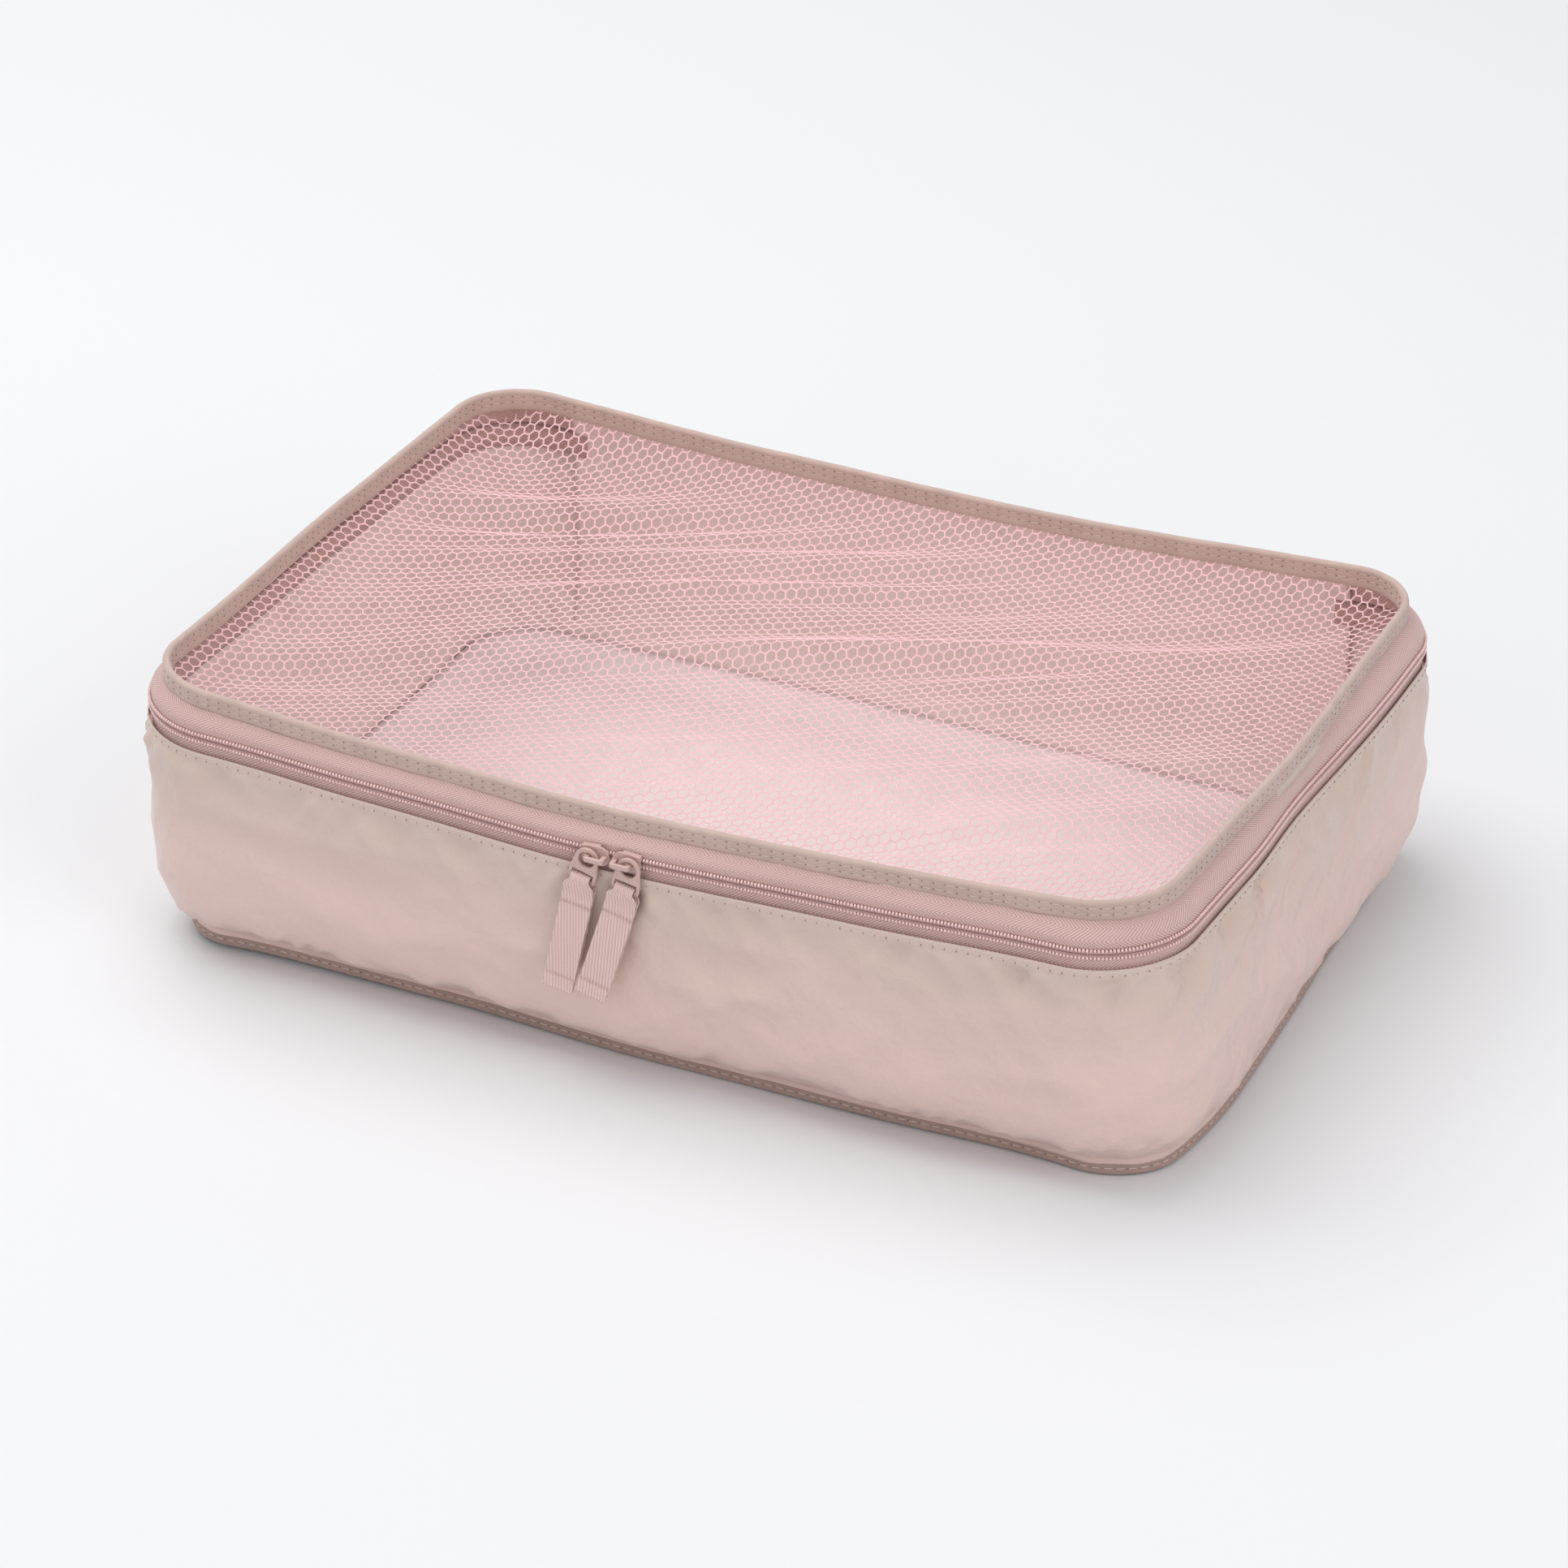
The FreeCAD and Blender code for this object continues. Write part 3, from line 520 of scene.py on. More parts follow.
def blend(low: Array, high: Array, share: Array) -> Array:
    """Mix two columns of values by a row of shares."""
    return low[:, None] * (1 - share[None, :]) + high[:, None] * share[None, :]


# ------------------------------------------------------------------ geometry nodes


def start_tree(name: str, sockets: dict[str, str]) -> bpy.types.NodeTree:
    """Start a geometry-node tree with a geometry socket each way.

    Args:
        name: The tree's name.
        sockets: The kind of each further input, by its name.

    Returns:
        The tree, with no nodes yet.
    """
    tree = bpy.data.node_groups.new(name, "GeometryNodeTree")
    for label, kind in {"Geometry": "Geometry", **sockets}.items():
        tree.interface.new_socket(label, in_out="INPUT", socket_type=f"NodeSocket{kind}")
    tree.interface.new_socket("Geometry", in_out="OUTPUT", socket_type="NodeSocketGeometry")
    return tree


def finish_tree(tree: bpy.types.NodeTree, start: bpy.types.Node, copies: bpy.types.Node) -> None:
    """End a tree: real copies, in the finish that the tree was given."""
    add, link = tree.nodes.new, tree.links.new
    real = add("GeometryNodeRealizeInstances")
    finish = add("GeometryNodeSetMaterial")
    end = add("NodeGroupOutput")
    link(copies.outputs["Instances"], real.inputs["Geometry"])
    link(real.outputs["Geometry"], finish.inputs["Geometry"])
    link(start.outputs["Finish"], finish.inputs["Material"])
    link(finish.outputs["Geometry"], end.inputs["Geometry"])


class Row:
    """A geometry-node tree that repeats one small piece along a path."""

    _tree: bpy.types.NodeTree | None = None

    @classmethod
    def tree(cls) -> bpy.types.NodeTree:
        """Return the tree, building it the first time."""
        if cls._tree is None:
            cls._tree = cls._build()
        return cls._tree

    @staticmethod
    def _build() -> bpy.types.NodeTree:
        """Build the tree: path to curve, even points, turned copies, real mesh."""
        tree = start_tree("row_of_pieces", {
            "Piece": "Object", "Pitch": "Float", "Unevenness": "Float", "Seed": "Int",
            "Finish": "Material"})
        add, link = tree.nodes.new, tree.links.new
        start = add("NodeGroupInput")
        curve = add("GeometryNodeMeshToCurve")
        even = add("GeometryNodeResampleCurve")
        even.mode = "LENGTH"
        tangent = add("GeometryNodeInputTangent")
        forwards = add("FunctionNodeAlignRotationToVector")
        forwards.axis = "X"
        upright = add("FunctionNodeAlignRotationToVector")
        upright.axis = "Z"
        upright.pivot_axis = "X"
        upright.inputs["Vector"].default_value = (0, 0, 1)
        source = add("GeometryNodeObjectInfo")
        smaller = add("ShaderNodeMath")
        smaller.operation = "SUBTRACT"
        smaller.inputs[0].default_value = 1.0
        larger = add("ShaderNodeMath")
        larger.operation = "ADD"
        larger.inputs[0].default_value = 1.0
        size = add("FunctionNodeRandomValue")
        size.data_type = "FLOAT"
        copies = add("GeometryNodeInstanceOnPoints")
        link(start.outputs["Geometry"], curve.inputs["Mesh"])
        link(curve.outputs["Curve"], even.inputs["Curve"])
        link(start.outputs["Pitch"], even.inputs["Length"])
        link(tangent.outputs["Tangent"], forwards.inputs["Vector"])
        link(forwards.outputs["Rotation"], upright.inputs["Rotation"])
        link(start.outputs["Piece"], source.inputs["Object"])
        link(start.outputs["Unevenness"], smaller.inputs[1])
        link(start.outputs["Unevenness"], larger.inputs[1])
        ranges = [s for s in size.inputs if s.type == "VALUE"]
        link(smaller.outputs[0], ranges[0])
        link(larger.outputs[0], ranges[1])
        link(start.outputs["Seed"], size.inputs["Seed"])
        chance = next(s for s in size.outputs if s.type == "VALUE")
        link(even.outputs["Curve"], copies.inputs["Points"])
        link(source.outputs["Geometry"], copies.inputs["Instance"])
        link(upright.outputs["Rotation"], copies.inputs["Rotation"])
        link(chance, copies.inputs["Scale"])
        finish_tree(tree, start, copies)
        return tree

    @classmethod
    def lay(cls, name: str, path: Array, unit: bpy.types.Object, pitch: float,
            finish: bpy.types.Material, *, ring: bool = False, unevenness: float = 0.0,
            seed: int = 1) -> bpy.types.Object:
        """Repeat a unit along a path and return the plain mesh.

        Args:
            name: The new piece's name.
            path: The path's points, in millimetres.
            unit: The piece to repeat, with +X along the path and -Y outwards.
            pitch: The distance from one to the next, in millimetres.
            finish: The material of the copies.
            ring: Whether the path closes on itself.
            unevenness: How much the copies differ in size, as a share.
            seed: The random seed.

        Returns:
            One object with every copy in its mesh.
        """
        count = len(path)
        edges = [(i, i + 1) for i in range(count - 1)] + ([(count - 1, 0)] if ring else [])
        mesh = bpy.data.meshes.new(name)
        mesh.from_pydata((path * MM).tolist(), edges, [])
        piece = place_mesh(name, mesh)
        modifier = piece.modifiers.new("row", "NODES")
        modifier.node_group = cls.tree()
        set_inputs(modifier, {"Piece": unit, "Pitch": pitch * MM, "Unevenness": unevenness,
                              "Seed": seed, "Finish": finish})
        apply_modifiers(piece)
        shade_faces(piece.data, True)
        return piece


def set_inputs(modifier: bpy.types.Modifier, values: dict[str, object]) -> None:
    """Set a node modifier's inputs, by the identifier of each named socket."""
    for item in modifier.node_group.interface.items_tree:
        if item.item_type == "SOCKET" and item.in_out == "INPUT" and item.name in values:
            modifier[item.identifier] = values[item.name]


class CellField:
    """A geometry-node tree that lays one cell's strands over a staggered grid."""

    @staticmethod
    def tree() -> bpy.types.NodeTree:
        """Build the tree: two grids, half a pitch apart, with a unit on every point."""
        tree = start_tree("field_of_cells", {
            "Unit": "Object", "Length": "Float", "Width": "Float",
            "Half Pitch Along": "Float", "Half Pitch Across": "Float",
            "Columns": "Int", "Rows": "Int", "Finish": "Material"})
        add, link = tree.nodes.new, tree.links.new
        start = add("NodeGroupInput")
        grid = add("GeometryNodeMeshGrid")
        step = add("ShaderNodeCombineXYZ")
        moved = add("GeometryNodeTransform")
        both = add("GeometryNodeJoinGeometry")
        source = add("GeometryNodeObjectInfo")
        copies = add("GeometryNodeInstanceOnPoints")
        for label, node, socket in (
                ("Length", grid, "Size X"), ("Width", grid, "Size Y"),
                ("Columns", grid, "Vertices X"), ("Rows", grid, "Vertices Y"),
                ("Half Pitch Along", step, "X"), ("Half Pitch Across", step, "Y")):
            link(start.outputs[label], node.inputs[socket])
        link(grid.outputs["Mesh"], moved.inputs["Geometry"])
        link(step.outputs["Vector"], moved.inputs["Translation"])
        link(grid.outputs["Mesh"], both.inputs["Geometry"])
        link(moved.outputs["Geometry"], both.inputs["Geometry"])
        link(start.outputs["Unit"], source.inputs["Object"])
        link(both.outputs["Geometry"], copies.inputs["Points"])
        link(source.outputs["Geometry"], copies.inputs["Instance"])
        finish_tree(tree, start, copies)
        return tree


# ------------------------------------------------------------------ finishes


class Shader:
    """A material under construction, with short ways to add and join nodes."""

    def __init__(self, name: str) -> None:
        """Start a material with only its shader and output."""
        self.material = bpy.data.materials.new(name)
        self.material.use_nodes = True
        self.nodes = self.material.node_tree.nodes
        self.links = self.material.node_tree.links
        self.surface = self.nodes["Principled BSDF"]

    def set(self, **values: object) -> None:
        """Set constants on the shader's own sockets, with _ for spaces."""
        for label, value in values.items():
            self.surface.inputs[label.replace("_", " ")].default_value = value

    def add(self, kind: str, props: dict[str, object] | None = None,
            **inputs: object) -> bpy.types.Node:
        """Add a node.

        Args:
            kind: The node's type.
            props: Its properties.
            **inputs: A value or a socket for each input, named with _ for spaces,
                or i0, i1 and so on by number.

        Returns:
            The node.
        """
        node = self.nodes.new(kind)
        for key, value in (props or {}).items():
            setattr(node, key, value)
        for label, value in inputs.items():
            if label[0] == "i" and label[1:].isdigit():
                socket = node.inputs[int(label[1:])]
            else:
                socket = node.inputs[label.replace("_", " ")]
            if isinstance(value, bpy.types.NodeSocket):
                self.links.new(value, socket)
            else:
                socket.default_value = value
        return node

    def sum(self, operation: str, first: object, second: object = 0.0) -> bpy.types.NodeSocket:
        """Return one arithmetic step on values or sockets."""
        return self.add("ShaderNodeMath", {"operation": operation}, i0=first, i1=second).outputs[0]

    def object_point(self) -> bpy.types.NodeSocket:
        """Return the point in the piece's own coordinates."""
        return self.add("ShaderNodeTexCoord").outputs["Object"]

    def cloth_point(self) -> tuple[bpy.types.NodeSocket, bpy.types.NodeSocket]:
        """Return how far along and across the cloth a point is, in millimetres."""
        uv = self.add("ShaderNodeUVMap", {"uv_map": "cloth"}).outputs["UV"]
        parts = self.add("ShaderNodeSeparateXYZ", Vector=uv)
        return (self.sum("MULTIPLY", parts.outputs["X"], 1 / MM),
                self.sum("MULTIPLY", parts.outputs["Y"], 1 / MM))

    def noise(self, point: bpy.types.NodeSocket, size: float, detail: float = 2.0
              ) -> bpy.types.NodeSocket:
        """Return soft noise with blobs of about a size, in millimetres."""
        node = self.add("ShaderNodeTexNoise", None, Vector=point, Scale=1 / (size * MM),
                        Detail=detail)
        return node.outputs["Fac"]

    def ramp(self, value: bpy.types.NodeSocket, low: float, high: float,
             first: Colour, second: Colour) -> bpy.types.NodeSocket:
        """Return a colour between two, as a value goes from low to high."""
        share = self.add("ShaderNodeMapRange", None, Value=value, From_Min=low, From_Max=high)
        mix = self.add("ShaderNodeMix", {"data_type": "RGBA"}, Factor=share.outputs["Result"])
        mix.inputs[6].default_value = (*first, 1)
        mix.inputs[7].default_value = (*second, 1)
        return mix.outputs[2]

    def paint(self, colour: bpy.types.NodeSocket) -> None:
        """Join a colour to the surface."""
        self.links.new(colour, self.surface.inputs["Base Color"])

    def emboss(self, height: bpy.types.NodeSocket, depth: float, strength: float = 1.0) -> None:
        """Add relief of a depth in millimetres, on top of what is there."""
        bump = self.add("ShaderNodeBump", None, Height=height, Strength=strength,
                        Distance=depth * MM)
        socket = self.surface.inputs["Normal"]
        if socket.is_linked:
            self.links.new(socket.links[0].from_socket, bump.inputs["Normal"])
        self.links.new(bump.outputs["Normal"], socket)


def shade(colour: Colour, factor: float) -> Colour:
    """Return a colour made darker or lighter."""
    return tuple(min(c * factor, 1.0) for c in colour)


@dataclass(frozen=True)
class Nylon:
    """Thin satin nylon, finely crinkled, with painted sheen: beige painted high up and rosier below,
    by height.
    """

    name: str
    # painted_sheen_beige is painted sheen: the cloth drawn beige high up, where the satin catches the
    # light. rose is its colour lower down.
    painted_sheen_beige: Colour = (0.62, 0.485, 0.42)
    rose: Colour = (0.73, 0.53, 0.48)
    roughness: float = 0.40
    thread_pitch: float = 0.42

    def build(self) -> bpy.types.Material:
        """Return the material."""
        s = Shader(self.name)
        point = s.object_point()
        # Painted sheen: the colour ramps by height from rose low on the wall to beige high up, as the
        # light falls on the satin. The noise drift breaks the line up at random.
        height = s.add("ShaderNodeSeparateXYZ", Vector=point).outputs["Z"]
        drift = s.sum("MULTIPLY", s.noise(point, 55.0), 40 * MM)
        light_and_tone = s.sum("ADD", height, drift)
        colour = s.ramp(light_and_tone, 62 * MM, 104 * MM, self.rose, self.painted_sheen_beige)
        fine = s.noise(point, 1.1, 3.0)
        mottle = s.add("ShaderNodeMix", {"data_type": "RGBA", "blend_type": "MULTIPLY"},
                       Factor=0.06)
        s.links.new(colour, mottle.inputs[6])
        s.links.new(fine, mottle.inputs[7])
        s.paint(mottle.outputs[2])
        along, across = s.cloth_point()
        warp = s.sum("SINE", s.sum("MULTIPLY", along, 2 * math.pi / self.thread_pitch))
        weft = s.sum("SINE", s.sum("MULTIPLY", across, 2 * math.pi / self.thread_pitch))
        s.emboss(s.noise(point, 13.0, 3.0), 2.6, 0.7)
        s.emboss(s.sum("MULTIPLY", warp, weft), 0.02, 0.35)
        s.set(Roughness=self.roughness, Specular_IOR_Level=0.5, Sheen_Weight=0.15,
              Sheen_Roughness=0.4)
        return s.material


@dataclass(frozen=True)
class BoundTape:
    """Plain woven edging tape with fine ribs across it."""

    name: str
    colour: Colour = (0.55, 0.405, 0.35)
    rib_pitch: float = 0.5
    roughness: float = 0.62

    def build(self) -> bpy.types.Material:
        """Return the material."""
        s = Shader(self.name)
        along, across = s.cloth_point()
        rib = s.sum("SINE", s.sum("MULTIPLY", along, 2 * math.pi / self.rib_pitch))
        pick = s.sum("SINE", s.sum("MULTIPLY", across, 2 * math.pi / (0.8 * self.rib_pitch)))
        weave = s.sum("MULTIPLY", rib, pick)
        # Colour: random tone from the noise, plus a little painted shade, darker at the weave's low
        # points.
        s.paint(s.ramp(s.sum("ADD", s.sum("MULTIPLY", weave, 0.12), s.noise(s.object_point(), 9.0)),
                       0.3, 0.75, shade(self.colour, 0.92), shade(self.colour, 1.06)))
        s.emboss(weave, 0.06, 0.6)
        s.emboss(s.noise(s.object_point(), 3.0, 3.0), 0.25, 0.5)
        s.set(Roughness=self.roughness, Sheen_Weight=0.2, Specular_IOR_Level=0.35)
        return s.material


@dataclass(frozen=True)
class Herringbone:
    """Zip tape woven in chevrons, in columns along its length, with painted shade in the weave's
    grooves.
    """

    name: str
    colour: Colour = (0.655, 0.435, 0.40)
    column: float = 4.1
    line_pitch: float = 0.92
    slope: float = 1.35
    roughness: float = 0.6

    def build(self) -> bpy.types.Material:
        """Return the material."""
        s = Shader(self.name)
        along, across = s.cloth_point()
        zigzag = s.add("ShaderNodeMath", {"operation": "PINGPONG"}, i0=across, i1=self.column)
        lean = s.sum("MULTIPLY", zigzag.outputs[0], self.slope)
        phase = s.sum("MULTIPLY", s.sum("ADD", along, lean),
                      2 * math.pi / (self.line_pitch * math.hypot(1, self.slope)))
        line = s.sum("SINE", phase)
        thread = s.sum("SINE", s.sum("MULTIPLY", along, 2 * math.pi / 0.45))
        relief = s.sum("ADD", line, s.sum("MULTIPLY", thread, 0.25))
        # Painted shade: the colour follows the relief, darker in the chevrons' grooves and lighter on
        # their ridges.
        s.paint(s.ramp(relief, -1.1, 0.9, shade(self.colour, 0.74), shade(self.colour, 1.10)))
        s.emboss(relief, 0.12, 0.8)
        s.set(Roughness=self.roughness, Sheen_Weight=0.2, Specular_IOR_Level=0.35)
        return s.material


@dataclass(frozen=True)
class Moulded:
    """Plain plastic or thread, with faint mottling and a set gloss."""

    name: str
    colour: Colour
    roughness: float = 0.4
    mottle: float = 0.06
    mottle_size: float = 2.0
    sheen: float = 0.0
    coat: float = 0.0

    def build(self) -> bpy.types.Material:
        """Return the material."""
        s = Shader(self.name)
        grain = s.noise(s.object_point(), self.mottle_size, 3.0)
        s.paint(s.ramp(grain, 0.3, 0.7, shade(self.colour, 1 - self.mottle),
                       shade(self.colour, 1 + self.mottle)))
        s.emboss(grain, 0.03, 0.4)
        s.set(Roughness=self.roughness, Sheen_Weight=self.sheen, Coat_Weight=self.coat,
              Coat_Roughness=0.25)
        return s.material


@dataclass(frozen=True)
class Twill:
    """Ribbon woven in steep diagonal ribs, with painted shade in the valleys between them."""

    name: str
    colour: Colour = (0.70, 0.49, 0.455)
    roughness: float = 0.5

    def build(self) -> bpy.types.Material:
        """Return the material."""
        s = Shader(self.name)
        along, across = s.cloth_point()
        phase = s.sum("ADD", s.sum("MULTIPLY", along, Ribbon.RIB_ALONG),
                      s.sum("MULTIPLY", across, Ribbon.RIB_ACROSS))
        rib = s.sum("SINE", phase)
        thread = s.sum("SINE", s.sum("MULTIPLY", along, 2 * math.pi / 0.8))
        # Painted shade: the colour follows the ribs and threads, darker in their valleys.
        light_and_tone = s.sum("ADD", rib, s.sum("MULTIPLY", thread, 0.22))
        s.paint(s.ramp(light_and_tone, -1.15, 0.8, shade(self.colour, 0.76), shade(self.colour, 1.08)))
        s.emboss(thread, 0.05, 0.5)
        s.set(Roughness=self.roughness, Sheen_Weight=0.25, Specular_IOR_Level=0.45)
        return s.material


@dataclass
class Finishes:
    """Every finish of the cube, each built once."""

    nylon: bpy.types.Material = field(default_factory=lambda: Nylon("satin_nylon").build())
    lining: bpy.types.Material = field(default_factory=lambda: Moulded(
        "coated_back", (0.86, 0.765, 0.745), 0.5, 0.03, 12.0).build())
    inside: bpy.types.Material = field(default_factory=lambda: Moulded(
        "coated_wall_back", (0.82, 0.67, 0.635), 0.5, 0.03, 12.0).build())
    # Painted shade: the bottom binding is the same tape as the edging, given a darker copy of its
    # colour for the shade under the wall's bulge. A little of it is darker even where lit.
    foot_tape_painted_shade: bpy.types.Material = field(default_factory=lambda: BoundTape(
        "foot_tape_painted_shade", (0.38, 0.26, 0.22)).build())
    binding: bpy.types.Material = field(default_factory=lambda: BoundTape("edging_tape").build())
    tape: bpy.types.Material = field(default_factory=lambda: Herringbone("zip_tape").build())
    bead: bpy.types.Material = field(default_factory=lambda: Moulded(
        "coil_turns", (0.80, 0.56, 0.53), 0.38).build())
    # Painted shade: the coil's inner heads are the same plastic as its turns, made dark for the shade
    # in the groove between the rows.
    groove_painted_shade: bpy.types.Material = field(default_factory=lambda: Moulded(
        "coil_heads_painted_shade", (0.42, 0.25, 0.235), 0.42).build())
    thread: bpy.types.Material = field(default_factory=lambda: Moulded(
        "sewing_thread", (0.63, 0.485, 0.425), 0.5, sheen=0.2).build())
    # Painted shade: dark marks between the stitches for the shade where the thread dives into the
    # cloth.
    hole_shade: bpy.types.Material = field(default_factory=lambda: Moulded(
        "needle_hole_shade", (0.28, 0.19, 0.165), 0.8).build())
    net: bpy.types.Material = field(default_factory=lambda: Moulded(
        "net_yarn", (0.86, 0.56, 0.575), 0.55, 0.05, 3.0, sheen=0.2).build())
    paint: bpy.types.Material = field(default_factory=lambda: Moulded(
        "painted_zinc", (0.56, 0.375, 0.34), 0.34, 0.03, 4.0, coat=0.25).build())
    ribbon: bpy.types.Material = field(default_factory=lambda: Twill("twill_ribbon").build())
    tack: bpy.types.Material = field(default_factory=lambda: Moulded(
        "tacking_thread", (0.60, 0.40, 0.365), 0.5, sheen=0.2).build())


def dress(piece: bpy.types.Object, finish: bpy.types.Material, body: str, slot: str,
          *replaced: str) -> bpy.types.Object:
    """Give a piece its finish and its body, and hide the nodes that it stands for.

    Args:
        piece: The piece.
        finish: Its material, where its mesh has none yet.
        body: The body that it rides on.
        slot: The slot that it shows; not used.
        *replaced: The nodes that it stands for.

    Returns:
        The same piece.
    """
    if not piece.data.materials:
        piece.data.materials.append(finish)
    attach(piece, body)
    if replaced:
        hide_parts(*replaced)
    LOG.info("%s: %d faces on %s", piece.name, len(piece.data.polygons), body)
    return piece


# ------------------------------------------------------------------ stitches


@dataclass(frozen=True)
class Stitch:
    """One straight stitch: a thread that rises from its hole, lies, and goes back in."""

    length: float = 4.25
    gauge: float = 0.42
    share: float = 0.8
    # hole_shade is the length of the dark mark painted at each needle hole.
    hole_shade: float = 0.75
    sides: int = 6
    rings: int = 7

    def unit(self, name: str) -> bpy.types.Object:
        """Return the stitch as a small closed mesh, with +X along it and -Y outwards."""
        t = np.linspace(-1, 1, self.rings)
        reach = self.length * self.share / 2
        rise = self.gauge * (0.12 - 0.62 * np.abs(t) ** 3)
        girth = self.gauge / 2 * (1 - 0.35 * t ** 4)
        angle = np.arange(self.sides) * 2 * math.pi / self.sides
        x = np.repeat(t * reach, self.sides).reshape(self.rings, self.sides)
        y = -rise[:, None] - girth[:, None] * np.cos(angle)[None, :] * 0.8
        z = girth[:, None] * np.sin(angle)[None, :]
        points = np.stack([x, y, z], axis=-1).reshape(-1, 3)
        faces = grid_faces(self.rings, self.sides, False, True)[:, ::-1].tolist()
        faces += [list(range(self.sides)),
                  list(range((self.rings - 1) * self.sides, self.rings * self.sides))[::-1]]
        piece = new_piece(name, points, faces)
        fix_normals(piece)
        return piece

    def row(self, name: str, path: Array, finishes: "Finishes", ring: bool,
            seed: int) -> bpy.types.Object:
        """Sew a row of stitches along a path, with a dark mark painted between stitches as the shade
        of each needle hole, as one mesh.

        Args:
            name: The row's name.
            path: The path's points, in millimetres.
            finishes: The cube's finishes.
            ring: Whether the path closes on itself.
            seed: The random seed.

        Returns:
            The row.
        """
        unit = self.unit(name + "_unit")
        pitch = path_length(path, ring) / round(path_length(path, ring) / self.length)
        threads = Row.lay(name, path, unit, pitch, finishes.thread, ring=ring,
                          unevenness=0.05, seed=seed)
        bpy.data.objects.remove(unit)
        # The needle holes are small bumps in a dark finish: painted shade.
        hole_shade = Stitch(length=self.hole_shade, gauge=self.gauge * 1.35, share=1.0, rings=5).unit(
            name + "_hole")
        shifted = shift_path(path, pitch / 2, ring)
        hole_shades = Row.lay(name + "_holes", shifted, hole_shade, pitch, finishes.hole_shade, ring=ring,
                        unevenness=0.15, seed=seed)
        bpy.data.objects.remove(hole_shade)
        return join(name, threads, hole_shades)


def path_length(path: Array, ring: bool) -> float:
    """Return a path's length."""
    points = np.concatenate([path, path[:1]]) if ring else path
    return float(np.linalg.norm(np.diff(points, axis=0), axis=1).sum())


def shift_path(path: Array, step: float, ring: bool) -> Array:
    """Return the same path with its start moved along it by a step.

    Args:
        path: The path's points.
        step: How far to move the start, in millimetres.
        ring: Whether the path closes on itself.

    Returns:
        As many points as before.
    """
    points = np.concatenate([path, path[:1]]) if ring else path
    run = np.concatenate([[0], np.cumsum(np.linalg.norm(np.diff(points, axis=0), axis=1))])
    if ring:
        places = np.mod(np.linspace(0, run[-1], len(path), endpoint=False) + step, run[-1])
    else:
        places = np.linspace(step, run[-1] - step, len(path))
    return np.stack([np.interp(places, run, column) for column in points.T], axis=1)


def smooth_step(share: Array) -> Array:
    """Ease a share from 0 to 1 in and out."""
    return share * share * (3 - 2 * share)


def fix_normals(piece: bpy.types.Object) -> None:
    """Turn every face of a closed mesh outwards."""
    work = bmesh.new()
    work.from_mesh(piece.data)
    bmesh.ops.recalc_face_normals(work, faces=work.faces)
    work.to_mesh(piece.data)
    work.free()


def line_points(along: Array, out: Array, up: Array) -> Array:
    """Return points along a seam, in millimetres."""
    x, y = OUTLINE.place(along, out)
    return np.stack([x, y, np.broadcast_to(up, x.shape)], axis=-1)


def join(name: str, *pieces: bpy.types.Object) -> bpy.types.Object:
    """Join pieces into the first one, under a new name."""
    with bpy.context.temp_override(active_object=pieces[0], object=pieces[0],
                                   selected_editable_objects=list(pieces),
                                   selected_objects=list(pieces)):
        bpy.ops.object.join()
    pieces[0].name = name
    pieces[0].data.name = name
    return pieces[0]


# ------------------------------------------------------------------ the seams' surfaces


@dataclass(frozen=True)
class Lines:
    """Where each seam really lies at given stations, drift included."""

    along: Array

    @property
    def rim_out(self) -> Array:
        """The rim's outer face."""
        return -SIZES.rim_inset + SEAMS.rim_out.at(self.along)

    @property
    def rim_top(self) -> Array:
        """The rim's top edge."""
        return SIZES.rim_up + SEAMS.rim_rise.at(self.along)

    @property
    def zip_out(self) -> Array:
        """The face of the zip tapes at the parting."""
        return SEAMS.zip_out.at(self.along)

    @property
    def zip_up(self) -> Array:
        """The parting's height."""
        return SIZES.zip_up + SEAMS.zip_rise.at(self.along)

    @property
    def foot_out(self) -> Array:
        """The bottom binding's outer face."""
        return -SIZES.foot_inset + SEAMS.foot_out.at(self.along)

    @property
    def foot_up(self) -> Array:
        """The bottom binding's lower edge, never under the ground."""
        return np.maximum(SEAMS.foot_rise.at(self.along), 0.0)


